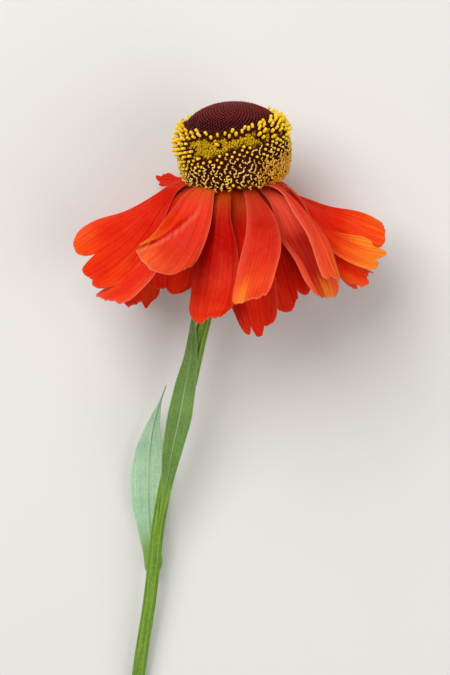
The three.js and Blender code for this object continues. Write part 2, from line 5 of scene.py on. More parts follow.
import bpy
import numpy as np
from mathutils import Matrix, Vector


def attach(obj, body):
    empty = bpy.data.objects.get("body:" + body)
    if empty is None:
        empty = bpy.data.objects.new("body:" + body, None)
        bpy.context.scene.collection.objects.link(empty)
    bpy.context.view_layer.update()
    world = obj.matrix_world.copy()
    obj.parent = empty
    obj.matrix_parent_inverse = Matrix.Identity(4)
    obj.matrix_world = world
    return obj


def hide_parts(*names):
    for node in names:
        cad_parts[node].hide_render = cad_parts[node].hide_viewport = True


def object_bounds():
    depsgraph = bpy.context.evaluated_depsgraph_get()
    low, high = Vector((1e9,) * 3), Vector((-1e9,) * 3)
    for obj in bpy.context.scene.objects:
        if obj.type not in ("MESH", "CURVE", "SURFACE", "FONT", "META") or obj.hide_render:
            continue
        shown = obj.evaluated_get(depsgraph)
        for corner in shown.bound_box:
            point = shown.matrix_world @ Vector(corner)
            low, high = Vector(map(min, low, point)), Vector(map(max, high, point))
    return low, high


bl_info = {
    "name": "Sneezeweed Flower",
    "version": (1, 0, 0),
    "blender": (4, 5, 0),
    "location": "3D View > Sidebar > Sneezeweed",
    "description": "Makes a cut sneezeweed flower: its disc of florets, petals, stem and leaves",
    "category": "Object",
}

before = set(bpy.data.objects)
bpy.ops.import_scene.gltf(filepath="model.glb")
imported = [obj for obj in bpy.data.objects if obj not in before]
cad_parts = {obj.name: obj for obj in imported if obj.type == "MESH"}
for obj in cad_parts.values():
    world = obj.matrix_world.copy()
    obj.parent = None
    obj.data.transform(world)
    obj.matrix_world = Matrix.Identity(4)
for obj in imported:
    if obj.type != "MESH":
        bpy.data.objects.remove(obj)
CAD_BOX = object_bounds()

# Lengths are in millimetres up to the meshes, which are in metres
MM = 0.001
TAU = 2 * math.pi
GOLDEN_ANGLE = math.pi * (3 - math.sqrt(5))
HONEYCOMB_SHARE = 0.866
TABLE_GAP = 0.01
UPRIGHT = np.array([0.0, 1.0, 0.0])

# Where the bloom sits over the table and how its axis leans
BLOOM_AT = np.array([-0.2, 45.6, 17.0])
NOSE_UP = math.radians(16)
LEAN_LEFT = math.radians(3)

# The disc's outline along the bloom's axis
DISC_RADIUS = 9.9
DISC_WIDEST_AT = 4.6
DISC_TOP = 12.3
DISC_BELOW = 8.6
DISC_SQUARENESS = 2.3
BUD_CAP_FROM = 9.2
BELT_FROM = 4.3
BELT_TO = 9.9
DISC_FROM = -0.3
NECK = ((5.6, -3.35), (5.6, 0.6))
CORE_SIDES = 96
CORE_RINGS = 24

# The florets' own outline: sunk under the disc's, with a rounder dome over the cap of buds
FLORETS_ASIDE = np.array([0.45, 0, 0])
FLORETS_SUNK = 0.5
FLORETS_SUNK_LOW = 0.15
DOME_FROM = 9.0
DOME_LEVEL = 6.97
DOME_RADIUS = 8.4
DOME_RISE = 5.31
DOME_TOP = DOME_LEVEL + DOME_RISE

# Levels round the disc, one each 30 degrees from the right side toward the front: where the cap
# of buds ends, and where the golden belt gives way to open florets
CAP_EDGE = (9.7, 9.75, 9.35, 8.85, 8.5, 8.55, 8.8, 9.2, 9.4, 9.4, 9.3, 9.5)
BELT_EDGE = (6.9, 7.0, 6.5, 6.2, 4.3, 4.2, 3.8, 4.2, 5.2, 5.6, 6.0, 6.6)

# Levels between which open florets are spread, and the spacings that no setting gives
OPEN_LEVELS = (-0.75, 8.0)
STICK_LEVELS = (3.0, 11.0)
STICK_SPACING = 1.0
AMBER_SPACING = 0.62

# Profiles of the florets, from their feet outward, as (radius, height)
BUD = [(0.17, -0.1), (0.245, 0.0), (0.23, 0.12), (0.14, 0.25), (0.05, 0.3)]
GOLD_BUD = [(0.19, -0.25), (0.2, 0.0), (0.16, 0.09), (0.07, 0.14)]
STICK = [(0.4, -0.4), (0.38, 0.16), (0.23, 0.3), (0.25, 0.46), (0.28, 0.98), (0.24, 1.16),
         (0.11, 1.25)]
COROLLA = [(0.2, -0.4), (0.26, -0.05), (0.36, 0.14), (0.3, 0.18), (0.12, -0.02)]
FLORET_MARKS = ("pollen", "gold", "style", "shade")

# Forked styles: how far each arm leans from the upright, and where the wave of each arm starts
STYLE_FORMS = ((1.0, 0.6, 2.6), (1.35, 2.2, -0.8), (0.7, -0.4, 1.4))
STYLE_STALK = 0.25
STYLE_ARM = 0.44
STYLE_WAVE = 0.035

# The petals' grids and the curve that every petal follows
PETAL_ROWS = 64
LOBE_COLUMNS = 17
PETAL_LOBES = 3
LOBE_ROUNDNESS = 2.0
PETAL_VEINS = 12
PETAL_RING = 6.2
PATH_STEPS = 200
PETAL_BEND = 0.24
SWEEP_DONE_AT = 0.6
ROLL_FOOT_TO = 0.25
ROLL_END_OVER = (0.1, 0.7)
TABLE_EASE = 1.2
TUCKED_UNTIL = 0.1
TUCK_INWARD = 0.4
CREASE_FROM = 0.28
CREASE_TO = 0.9
CREASE_WIDTH = 0.5
CREASE_DEPTH = 0.9

# The petals' layers: the level of the foot, how sharply the claw widens above it, and how far the
# hidden end of the foot is tucked up under the disc
LAYERS = {
    "upper": {"level": -0.75, "claw": 1.35, "tuck": 0.0},
    "middle": {"level": -1.8, "claw": 1.35, "tuck": 0.8},
    "lower": {"level": -2.85, "claw": 2.4, "tuck": 1.6},
}

# What a petal's record says unless the petal has its own. Its form: roll in degrees at the foot
# and at the end, sweep of its heading, width of the foot and place and sharpness of the widest
# part, taper from there, ends (shoulder, lobe, notch, lobe, notch, lobe, shoulder, as shares of
# the length), places of the two notches across it, cup of its margins, least height over the
# table, and fold, where a crease starts and ends across it. Its colours: ember, how far the orange
# and yellow of the end reach; wine, how deep the red is, partly the petal's own deep red and
# partly painted shade on petals that lie in the shade of others; blush, how pink the outer face
# is, partly its own pink and partly painted light that makes petals the lamps leave darker look
# lighter; ochre, how yellow the foot is; and the place across and the strength of glow, a golden
# streak at the end, and of lip, a raised pink margin that is painted light, with painted shade in
# the hollow beside it.
PETAL_DEFAULTS = {
    "roll": (0, 0), "sweep": 0, "foot": 0.25, "widest": 0.74, "taper": 0.16,
    "ends": (0.8, 0.96, 0.88, 1.0, 0.89, 0.95, 0.79), "notches": (-0.36, 0.34), "cup": 0.5,
    "rest": 0.35, "fold": None, "ember": 0.3, "wine": 0.1, "blush": 0.15, "ochre": 0.4,
    "glow": (0, 0), "lip": (0, 0),
}


def petal(number, at, layer, slopes, size, **own):
    """One petal's record: its number, its angle round the disc from the right side toward the
    front, its layer, its slopes below level at the foot, the blade and the tip, its length and
    width, and what it has of its own. Angles are in degrees."""
    return {**PETAL_DEFAULTS, **LAYERS[layer], "name": f"petal_{number:02d}", "number": number,
            "at": at, "layer": layer, "slopes": slopes, "size": size, **own}


PETALS = [
    petal(1, -3.3, "middle", (27, 42, 14), (26.5, 7.4), roll=(8, -55), sweep=8, foot=0.45,
          claw=1.3, widest=0.72, taper=0.6, ends=(0.7, 0.81, 0.83, 0.85, 0.77, 0.71, 0.52),
          notches=(-0.6, 0.75), ember=0.7, wine=0, ochre=0.15),
    petal(2, 19.4, "upper", (9, 73, -27), (33.4, 6.9), roll=(42, -47), sweep=-7, foot=0.4,
          claw=2.0, widest=0.95, taper=0.16, ends=(0.55, 0.66, 0.665, 0.75, 0.675, 0.72, 0.66),
          notches=(-0.48, 0.33), ember=0.95, wine=0, ochre=0.15),
    petal(3, 23.7, "lower", (63, 45, 32), (26.6, 5.7), roll=(26, -28), sweep=-14, foot=0.21,
          claw=2.58, widest=0.92, taper=0.16, ends=(0.88, 0.85, 0.86, 0.88, 0.86, 0.79, 0.55),
          notches=(-0.12, 0.52), ember=0.5, wine=0.1),
    petal(4, 43.4, "upper", (0, 25, 82), (27.9, 5.7), roll=(26, 16), sweep=3, foot=0.4, claw=2.23,
          widest=0.71, taper=0, ends=(0.81, 0.84, 0.86, 0.84, 0.79, 0.82, 0.79),
          notches=(-0.61, 0.33), ember=0.65, wine=0, blush=1.0, ochre=0.15, glow=(-0.3, 0.25)),
    petal(5, 43.6, "middle", (13, 47, 66), (25.6, 9.1), roll=(-46, 10), sweep=3, foot=0.2,
          claw=2.6, widest=0.6, taper=0.39, cup=-0.7,
          ends=(0.83, 0.9, 0.89, 0.89, 0.85, 0.86, 0.84), notches=(-0.15, 0.6), ember=0.6, wine=0,
          blush=0.7, ochre=0.2, glow=(-0.4, 0.45), lip=(0.75, 0.8)),
    petal(6, 50.2, "lower", (41, 55, 75), (20.9, 7.8), roll=(-1, -3), sweep=7, foot=0.4, claw=1.5,
          widest=0.67, taper=0.18, ends=(0.83, 0.9, 0.82, 0.92, 0.97, 1, 0.95),
          notches=(-0.22, 0.12), ember=0.15, wine=0.35),
    petal(7, 68.6, "upper", (32, 29, 39), (35.3, 7.5), roll=(-3, -16), sweep=41, foot=0.23,
          claw=1.17, widest=0.63, taper=0.6, ends=(0.62, 0.73, 0.75, 0.75, 0.76, 0.76, 0.65),
          notches=(-0.57, 0.12), ember=0.5, wine=0.5, blush=0.6, ochre=0.3, glow=(0.6, 0.4)),
    petal(8, 89.4, "lower", (50, 56, 78), (24.1, 9.1), roll=(-1, -44), sweep=-29, foot=0.5,
          claw=1.9, widest=0.57, taper=0.46, ends=(0.86, 0.93, 0.92, 1.02, 0.88, 0.98, 0.7),
          notches=(-0.36, 0.39), ember=0.1, wine=0.5),
    petal(9, 104.3, "middle", (20, 79, 31), (24.6, 8.4), roll=(-26, -4), sweep=3, foot=0.32,
          claw=1.29, widest=0.76, taper=0.53, ends=(0.77, 0.92, 0.94, 0.95, 0.97, 1.02, 0.86),
          notches=(-0.75, 0.12), ember=0.4, wine=0.8, ochre=0.6),
    petal(10, 125, "upper", (0, 53, -1), (24.3, 9.4), roll=(33, 37), sweep=-8, foot=0.2, claw=0.67,
          widest=0.89, taper=0.58, fold=(-0.12, 0.97), ends=(0.45, 0.69, 0.74, 1, 0.91, 0.9, 0.77),
          notches=(-0.73, 0.71), ember=0.5, wine=0.05, blush=0.9, ochre=1.0, glow=(0.5, 0.25)),
    petal(11, 138.8, "lower", (37, 40, 88), (18.7, 9.1), roll=(4, 61), sweep=9, foot=0.45,
          claw=1.5, widest=0.82, taper=0.75, ends=(0.81, 0.96, 0.97, 0.97, 0.91, 0.93, 0.85),
          notches=(-0.75, 0.12), ember=0.35, wine=0),
    petal(12, 170.8, "lower", (5, 42, 99), (25, 7.7), roll=(18, 107), sweep=-4, foot=0.8,
          level=-1.85, claw=1.2, widest=0.88, taper=0.6,
          ends=(0.73, 0.96, 0.98, 1, 0.93, 0.95, 0.97), notches=(-0.4, 0.12), ember=0.3, wine=0.2),
    petal(13, 147.3, "middle", (14, 65, 17), (29.7, 12.4), roll=(-32, -3), sweep=13, foot=0.45,
          claw=1.4, widest=0.68, taper=0, ends=(0.46, 0.83, 0.8, 0.86, 0.87, 0.87, 0.83),
          notches=(-0.48, 0.21), ember=0.4, blush=0.5, ochre=0.5),
    petal(14, 176.1, "upper", (0, 49, 21), (25.2, 12.7), roll=(18, 44), sweep=-16, foot=0.28,
          claw=2.6, widest=0.87, taper=0.1, ends=(0.68, 0.99, 0.96, 1, 0.83, 0.96, 0.79),
          notches=(-0.51, 0.12), ember=0.5, wine=0.25, blush=0.1, ochre=0.2, glow=(0.85, 0.12)),
    petal(15, 192.8, "lower", (39, 52, 48), (23.9, 8.3), roll=(4, 22), sweep=-4, foot=0.2,
          claw=2.41, widest=0.73, ends=(0.79, 0.96, 0.88, 0.99, 0.89, 0.95, 0.78),
          notches=(-0.37, 0.33), ember=0.3, wine=0.4),
    petal(16, 209.6, "middle", (28, 38, 42), (23.9, 8.5), roll=(-4, 14), sweep=0, foot=0.26,
          claw=1.3, widest=0.74, ends=(0.8, 0.96, 0.88, 0.99, 0.89, 0.96, 0.78),
          notches=(-0.35, 0.31), ember=0.4),
    petal(17, 226.1, "upper", (13, 21, -3), (14.1, 3.3), roll=(23, 18), sweep=4, foot=0.33,
          claw=0.76, widest=0.78, ends=(0.74, 0.85, 0.83, 0.97, 0.93, 0.95, 0.89),
          notches=(-0.5, 0.29), ember=0.1),
    petal(18, 247, "middle", (30, 60, 106), (25, 8.8), rest=1.4, ember=0.4),
    petal(19, 270, "upper", (12, 50, 106), (25, 8.8), ember=0.4),
    petal(20, 293, "middle", (30, 60, 106), (25, 8.8), rest=1.4, ember=0.3),
    petal(21, 311, "upper", (18, 46, 50), (23.5, 8.8), ember=0.5),
    petal(22, 330, "middle", (24, 42, 44), (25, 8.6), roll=(0, -8), rest=1.5, ember=0.4),
    petal(23, 348, "lower", (40, 54, 48), (25, 8.8), roll=(-5, -20), ember=0.5),
]

# Route of the stem, like the leaves' routes measured from the spot on the table under the bloom
STEM_ROUTE = [
    (0.46, -8.7, 14.5), (0.48, -9.7, 14.21), (-0.5, -13, 13.3), (-2.6, -18, 12.1),
    (-4.9, -25.6, 10.4), (-7.6, -37.3, 8.4), (-10.4, -48.3, 6.7), (-12.7, -59.7, 5.1),
    (-14.4, -73.9, 3.4), (-16.4, -87.1, 2.2), (-17.9, -103.8, 0.92),
]
STEM_RINGS = 180
STEM_SIDES = 60
STEM_RADIUS = 1.0
STEM_FLARE = 0.6
STEM_FLARE_TO = 0.07
STEM_RIDGES = 6
STEM_RIDGE_HEIGHT = 0.13
STEM_LINES = 18
STEM_LINE_HEIGHT = 0.02

LEAVES = {
    "leaf_upper": {
        "route": [(-13.1, -63, 4.8), (-12.4, -59.4, 6.1), (-11.6, -55.5, 7.1), (-10.5, -48.3, 8.6),
                  (-9, -41.3, 10), (-8, -36, 10.9), (-7.1, -31, 11.7), (-6.6, -24.6, 12.9),
                  (-6.2, -20.5, 13.5)],
        "width": 4.15, "foot": 0.1, "widest": 0.52, "tip": 0.1, "ear": 0.0, "fold": 0.28,
        "slot": "leaf",
    },
    "leaf_lower": {
        "route": [(-14.0, -69.5, 2.1), (-14.25, -64, 2.2), (-14.8, -56.2, 2.3),
                  (-14.6, -49.2, 2.8), (-13.9, -43.9, 3.5), (-12.5, -39, 4.3),
                  (-11.5, -36.2, 4.9)],
        "width": 6.0, "foot": 0.4, "widest": 0.5, "tip": 0.0, "ear": 0.6, "fold": 0.12,
        "slot": "pale_leaf",
    },
}
LEAF_STEPS = 200
LEAF_GRID = (90, 31)
LEAF_TIP_HALF_WIDTH = 0.28
LEAF_MIDRIB_WIDTH = 0.55

# The cup's profile as (radius, height), and its bracts
CUP = [(1.9, -8.6), (1.9, -8), (3, -7), (4.7, -5.6), (5.5, -4.15), (5.2, -3.65)]
CUP_SIDES = 48
BRACTS = 34
BRACT_GRID = (14, 5)
BRACT_LENGTH = 8.5
BRACT_HALF_WIDTH = 0.55
BRACT_RING = 3.9
BRACT_FOOT_LEVEL = -4.9
BRACT_FIRST_SLOPE = 25

# How deep light goes into each kind of surface
PETAL_SOFTNESS = {"Subsurface_Weight": 0.2, "Subsurface_Radius": (1.0, 0.15, 0.05),
                  "Subsurface_Scale": 0.0005}
FLORET_SOFTNESS = {"Subsurface_Weight": 0.12, "Subsurface_Radius": (1.0, 0.6, 0.2),
                   "Subsurface_Scale": 0.0003}
GREEN_SOFTNESS = {"Subsurface_Radius": (0.3, 1.0, 0.1), "Subsurface_Scale": 0.0005}

# The photograph's camera, straight above the flower, and the lights' places and sizes in metres
CAMERA_AT = (-1.39, 17.8, 450.0)
PHOTO_HEIGHT = 675
PHOTO_MM_PER_PIXEL = 0.17
SENSOR = 36.0
KEY_LIGHT = ((-0.26, 0.3, 0.54), 0.5)
FILL_LIGHT = ((0.42, -0.16, 0.48), 0.6)
FLOOR_HALF_SIZE = 3


def paint(code):
    """A colour from its six-digit code, as linear light: ((c + 0.055) / 1.055)^2.4, or c / 12.92
    where c is dark."""
    parts = [int(code[i:i + 2], 16) / 255 for i in (0, 2, 4)]
    light = [c / 12.92 if c <= 0.04045 else ((c + 0.055) / 1.055) ** 2.4 for c in parts]
    return (*light, 1.0)


def rise(x, low, high):
    """0 at low, 1 at high and 3s^2 - 2s^3 of the way s between them. Low may be the larger."""
    s = np.clip((x - low) / (high - low), 0, 1)
    return s * s * (3 - 2 * s)


def bell(x, middle, width):
    """1 at the middle, falling to each side as exp(-((x - middle) / width)^2)."""
    return np.exp(-(((x - middle) / width) ** 2))


def soft_max(a, b, reach):
    """The larger of a and b, plus (reach - |a - b|)^2 / (4 reach) where they are that close."""
    return np.maximum(a, b) + np.maximum(0, reach - np.abs(a - b)) ** 2 / (4 * reach)


def unit(v):
    """Each vector divided by its length."""
    return v / np.linalg.norm(v, axis=-1, keepdims=True)


def swung(a, b, angle):
    """Direction a swung toward b: cos(angle) a + sin(angle) b."""
    return np.cos(angle)[..., None] * a + np.sin(angle)[..., None] * b


def round_axis(angle):
    """The directions out from the bloom's axis at an angle, and round it."""
    flat = np.zeros_like(angle)
    return (np.stack([np.cos(angle), flat, np.sin(angle)], -1),
            np.stack([-np.sin(angle), flat, np.cos(angle)], -1))


def turn_angles(count):
    """That many even steps of a full turn."""
    return np.arange(count) / count * TAU


def sample(curve, steps, t):
    """The points of a curve at t, read between those at its steps."""
    return np.stack([np.interp(t, steps, curve[:, k]) for k in range(3)], -1)


def on_table(points):
    """Bloom frame to table frame: turned nose up about X, leaned about Z, moved to its place."""
    x, y, z = np.moveaxis(np.asarray(points, float), -1, 0)
    ahead = y * math.cos(NOSE_UP) - z * math.sin(NOSE_UP)
    height = y * math.sin(NOSE_UP) + z * math.cos(NOSE_UP)
    across = x * math.cos(LEAN_LEFT) - ahead * math.sin(LEAN_LEFT)
    ahead = x * math.sin(LEAN_LEFT) + ahead * math.cos(LEAN_LEFT)
    return np.stack([across, ahead, height], -1) + BLOOM_AT


class Skin:
    """Points, faces and marks gathered for one mesh. Marks are numbers kept at each point."""

    def __init__(self, *marks):
        self.points = []
        self.faces = []
        self.marks = {mark: [] for mark in marks}
        self.count = 0

    def add(self, points, faces, **marks):
        """Adds points of any grid shape, and arrays of faces that count from the first of them."""
        flat = np.asarray(points, float).reshape(-1, 3)
        self.points.append(flat)
        self.faces += [np.asarray(group) + self.count for group in faces if len(group)]
        for mark, kept in self.marks.items():
            kept.append(np.broadcast_to(np.ravel(marks.get(mark, 0.0)), len(flat)))
        self.count += len(flat)

    def mesh(self, name):
        """The mesh in metres, with its marks as attributes and u and v as its UV map."""
        points = np.concatenate(self.points) * MM
        loops = np.concatenate([group.ravel() for group in self.faces])
        sizes = np.concatenate([np.full(len(group), group.shape[1]) for group in self.faces])
        starts = np.concatenate([[0], np.cumsum(sizes)[:-1]])
        mesh = bpy.data.meshes.new(name)
        mesh.vertices.add(len(points))
        mesh.vertices.foreach_set("co", points.astype(np.float32).ravel())
        mesh.loops.add(len(loops))
        mesh.loops.foreach_set("vertex_index", loops.astype(np.int32))
        mesh.polygons.add(len(sizes))
        mesh.polygons.foreach_set("loop_start", starts.astype(np.int32))
        mesh.update(calc_edges=True)
        mesh.polygons.foreach_set("use_smooth", np.ones(len(sizes), bool))
        marks = {mark: np.concatenate(kept) for mark, kept in self.marks.items()}
        if "u" in marks:
            uv = np.stack([marks.pop("u"), marks.pop("v")], 1)[loops]
            mesh.uv_layers.new(name="UVMap").data.foreach_set("uv", uv.astype(np.float32).ravel())
        for mark, values in marks.items():
            layer = mesh.attributes.new(mark, "FLOAT", "POINT")
            layer.data.foreach_set("value", values.astype(np.float32))
        if mesh.validate():
            raise RuntimeError(f"{name}: the mesh had faces that Blender took out")
        return mesh


def grid_faces(rows, columns, around=False, flip=False):
    """Quads of a grid of rows by columns, joined from the last column to the first if around."""
    i = np.arange(rows - 1)[:, None]
    j = np.arange(columns if around else columns - 1)[None, :]
    k = (j + 1) % columns
    quads = np.stack(np.broadcast_arrays(i * columns + j, i * columns + k,
                                         (i + 1) * columns + k, (i + 1) * columns + j), -1)
    quads = quads.reshape(-1, 4)
    return quads[:, ::-1] if flip else quads


def blade_faces(rows, columns):
    """Two grids, the upper first, closed by a strip of quads round their rim."""
    size = rows * columns
    index = np.arange(size).reshape(rows, columns)
    rim = np.concatenate([index[0], index[1:, -1], index[-1, -2::-1], index[-2:0:-1, 0]])
    after = np.roll(rim, -1)
    edge = np.stack([rim, rim + size, after + size, after], -1)
    return [grid_faces(rows, columns), grid_faces(rows, columns, flip=True) + size, edge]


def tube_faces(rings, sides):
    """A tube of rings, and a fan of triangles from the two points added after them at its ends."""
    j = np.arange(sides)
    k = (j + 1) % sides
    last = (rings - 1) * sides
    foot, top = rings * sides, rings * sides + 1
    return [
        grid_faces(rings, sides, around=True),
        np.stack([np.full(sides, foot), k, j], -1),
        np.stack([np.full(sides, top), last + j, last + k], -1),
    ]


def turned(profile, sides, lobes=0, lobe_depth=0.0):
    """A profile of (radius, height) turned round +Z, radius times 1 + depth cos(lobes angle)."""
    radius, height = np.array(profile, float).T
    angle = turn_angles(sides)
    wide = radius[:, None] * (1 + lobe_depth * np.cos(lobes * angle))
    rings = np.broadcast_arrays(wide * np.cos(angle), wide * np.sin(angle), height[:, None])
    ends = [[0, 0, height[0]], [0, 0, height[-1]]]
    return np.concatenate([np.stack(rings, -1).reshape(-1, 3), ends])


def stood(profile, sides):
    """A turned profile stood on the bloom's axis: (x, y, z) goes to (x, z, -y)."""
    return turned(profile, sides)[:, [0, 2, 1]] * [1, 1, -1]


def tube_along(path, radius, sides):
    """Rings of the given radii square to a path, which is carried with one fixed side vector."""
    along = unit(np.gradient(path, axis=0))
    side = unit(np.cross(along, [0.31, 0.17, 0.94]))
    ring = swung(side[:, None], np.cross(along, side)[:, None], turn_angles(sides))
    rings = path[:, None] + radius[:, None, None] * ring
    return np.concatenate([rings.reshape(-1, 3), path[[0, -1]]])


def facing(sheet, t, x, step=2e-3):
    """The way a surface sheet(t, x) faces: the cross product of its changes with x and with t."""
    t = np.clip(t, step, 1 - step)
    along = sheet(t + step, x) - sheet(t - step, x)
    across = sheet(t, x + step) - sheet(t, x - step)
    return unit(np.cross(across, along))


def add_blade(skin, sheet, t, x, half, relief=0.0, **marks):
    """Adds a closed blade over a grid of t and x: both its faces lie half a thickness from
    sheet(t, x) + relief times the way it faces, and neither goes through the table."""
    out = facing(sheet, t, x)
    middle = sheet(t, x) + np.broadcast_to(relief, t.shape)[..., None] * out
    faces = np.stack([middle + half[..., None] * out, middle - half[..., None] * out])
    faces[..., 2] = np.maximum(faces[..., 2], TABLE_GAP)
    both = {name: np.stack([values, values]) for name, values in marks.items()}
    skin.add(faces, blade_faces(*t.shape), **both)


def curve_through(route, count):
    """A smooth curve over the table at even steps of its length: a centripetal Catmull-Rom spline,
    each span weighted by the square root of its length, as in the solids."""
    points = np.array(route, float) + BLOOM_AT * [1, 1, 0]
    points = np.concatenate([[2 * points[0] - points[1]], points, [2 * points[-1] - points[-2]]])
    dense = []
    s = np.linspace(0, 1, 40, endpoint=False)[:, None]
    for a, b, c, d in zip(points, points[1:], points[2:], points[3:]):
        gaps = [math.sqrt(np.linalg.norm(q - p)) for p, q in ((a, b), (b, c), (c, d))]
        leave = ((b - a) / gaps[0] - (c - a) / (gaps[0] + gaps[1]) + (c - b) / gaps[1]) * gaps[1]
        reach = ((c - b) / gaps[1] - (d - b) / (gaps[1] + gaps[2]) + (d - c) / gaps[2]) * gaps[1]
        dense.append((2 * s**3 - 3 * s**2 + 1) * b + (s**3 - 2 * s**2 + s) * leave
                     + (3 * s**2 - 2 * s**3) * c + (s**3 - s**2) * reach)
    dense = np.concatenate([*dense, points[-2:-1]])
    run = np.concatenate([[0], np.cumsum(np.linalg.norm(np.diff(dense, axis=0), axis=1))])
    return sample(dense, run, np.linspace(0, run[-1], count))


def math_node(operation, reflected=False):
    """A method of Signal that adds a Math node for the signal and the values it is given."""
    def method(signal, *others):
        values = (*others, signal) if reflected else (signal, *others)
        return signal.maker.node("ShaderNodeMath", {"operation": operation}, *values)

    return method


class Signal:
    """A shader socket whose value varies. Sums and products of signals add Math nodes."""

    def __init__(self, maker, socket):
        self.maker = maker
        self.socket = socket

    __add__ = __radd__ = math_node("ADD")
    __sub__ = math_node("SUBTRACT")
    __rsub__ = math_node("SUBTRACT", reflected=True)
    __mul__ = __rmul__ = math_node("MULTIPLY")
    __pow__ = math_node("POWER")
    __abs__ = math_node("ABSOLUTE")
    sine = math_node("SINE")

    def held(self):
        """This signal held between 0 and 1."""
        settings = {"operation": "ADD", "use_clamp": True}
        return self.maker.node("ShaderNodeMath", settings, self, 0.0)

    def ramp(self, low, high):
        """0 at low, 1 at high, and smooth between them."""
        settings = {"interpolation_type": "SMOOTHSTEP"}
        return self.maker.node("ShaderNodeMapRange", settings, self, low, high, 0.0, 1.0)


class Finish:
    """A material in the making: signals in, and one shader whose sockets they feed."""

    def __init__(self, name):
        self.material = bpy.data.materials.new(name)
        self.material.use_nodes = True
        self.tree = self.material.node_tree
        self.shader = self.tree.nodes["Principled BSDF"]

    def feed(self, socket, value):
        """Links a signal to a socket, or sets the socket's own value. None leaves it as it is."""
        if isinstance(value, Signal):
            self.tree.links.new(value.socket, socket)
        elif value is not None:
            socket.default_value = value

    def node(self, kind, settings, *values, output=0, first=0, **named):
        """One node of a kind: its settings, then its sockets' values or links, and one output."""
        made = self.tree.nodes.new(kind)
        for setting, value in settings.items():
            setattr(made, setting, value)
        for k, value in enumerate(values, first):
            self.feed(made.inputs[k], value)
        for name, value in named.items():
            self.feed(made.inputs[name], value)
        return Signal(self, made.outputs[output])

    def mark(self, name):
        """A number kept at each point of the mesh."""
        return self.node("ShaderNodeAttribute", {"attribute_name": name}, output="Fac")

    def uv(self):
        """The two coordinates of the piece's own UV map."""
        split = self.node("ShaderNodeSeparateXYZ", {}, self.node("ShaderNodeUVMap", {}))
        return split, Signal(self, split.socket.node.outputs[1])

    def noise(self, vector, scale, detail, rough=0.5):
        """Soft noise between 0 and 1, about 0.5."""
        return self.node("ShaderNodeTexNoise", {}, vector, None, scale, detail, rough)

    def grain(self, scale, detail, rough=0.5):
        """Noise at the point's place in the object, with scale waves to a metre."""
        place = self.node("ShaderNodeTexCoord", {}, output="Object")
        return self.noise(place, scale, detail, rough)

    def streaks(self, x, y, z=0.0):
        """Noise over three signals, which draw it out by how fast they change."""
        return self.noise(self.node("ShaderNodeCombineXYZ", {}, x, y, z), 1.0, 3.0, 0.6)

    def mix(self, amount, a, b):
        """Colour a where amount is 0, and b where it is 1."""
        settings = {"data_type": "RGBA", "clamp_factor": True}
        mixed = self.node("ShaderNodeMix", settings, a, b, output=2, first=6)
        self.feed(mixed.socket.node.inputs[0], amount)
        return mixed

    def bump(self, height, depth):
        """A normal tilted by a height signal; depth is in metres for a height of 1."""
        return self.node("ShaderNodeBump", {}, Strength=1.0, Distance=depth, Height=height)

    def shade(self, **sockets):
        """Feeds the shader's sockets, and returns the material."""
        for name, value in sockets.items():
            self.feed(self.shader.inputs[name.replace("_", " ")], value)
        return self.material


def add_object(name, data):
    """A new object at the origin, in the scene."""
    made = bpy.data.objects.new(name, data)
    bpy.context.scene.collection.objects.link(made)
    return made


def add_piece(skin, name, material, slot, *nodes):
    """Puts a skin in the scene as one piece that rides on the flower and stands for its nodes."""
    piece = add_object(name, skin.mesh(name))
    piece.data.materials.append(material)
    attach(piece, "root")
    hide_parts(*nodes)


# Petals


def petal_path(form):
    """The midrib and its side and outer directions, in small steps. Its slope below level goes from
    the foot's to the blade's over the bend, then evenly to the tip's; its heading swings by sweep.
    The foot's own end is tucked up and inward, under the disc, by (1 - t / tucked)^2."""
    claw, root, tip = form["slopes"]
    roll_foot, roll_end = form["roll"]
    t = np.linspace(0, 1, PATH_STEPS + 1)
    far = np.clip((t - PETAL_BEND / 2) / (1 - PETAL_BEND / 2), 0, 1)
    slope = np.radians(claw + (root - claw) * rise(t, 0, PETAL_BEND) + (tip - root) * far)
    outward, round_ = round_axis(np.radians(form["at"] + form["sweep"] * rise(t, 0, SWEEP_DONE_AT)))
    along = swung(outward, -UPRIGHT, slope)
    above = swung(UPRIGHT, outward, slope)
    foot = PETAL_RING * round_axis(math.radians(form["at"]))[0] + form["level"] * UPRIGHT
    run = np.cumsum((along[1:] + along[:-1]) / 2 * form["size"][0] / PATH_STEPS, axis=0)
    middle = np.concatenate([[foot], foot + run])
    tuck = np.clip(1 - t / TUCKED_UNTIL, 0, 1)[:, None] ** 2
    middle = middle + tuck * (form["tuck"] * UPRIGHT - TUCK_INWARD * outward)
    roll = roll_foot * rise(t, 0, ROLL_FOOT_TO) + (roll_end - roll_foot) * rise(t, *ROLL_END_OVER)
    roll = np.radians(roll)
    return t, middle, swung(round_, above, roll), swung(above, -round_, roll)


def petal_sheet(form, t, x):
    """The petal's middle surface on the table: midrib + x side - cup (2x / width)^2 outer, stepped
    back softly past a crease, and lifted where it would pass below its least height."""
    steps, *curves = petal_path(form)
    middle, side, outer = (sample(curve, steps, t) for curve in curves)
    bend = -form["cup"] * rise(t, 0, 0.5) * (2 * x / form["size"][1]) ** 2
    bend -= CREASE_DEPTH * rise(t, 0, 0.4) * rise(past_crease(form, t, x), 0, CREASE_WIDTH)
    point = on_table(middle + x[..., None] * side + bend[..., None] * outer)
    point[..., 2] = soft_max(point[..., 2], form["rest"], TABLE_EASE)
    return point


def past_crease(form, t, x):
    """How far past its crease a point lies, in half widths: the crease crosses a folded petal from
    one place to another as t goes from CREASE_FROM to CREASE_TO. Below 0 on an unfolded petal."""
    if not form["fold"]:
        return np.full(np.shape(x), -1.0)
    return 2 * x / form["size"][1] - np.interp(t, (CREASE_FROM, CREASE_TO), form["fold"])


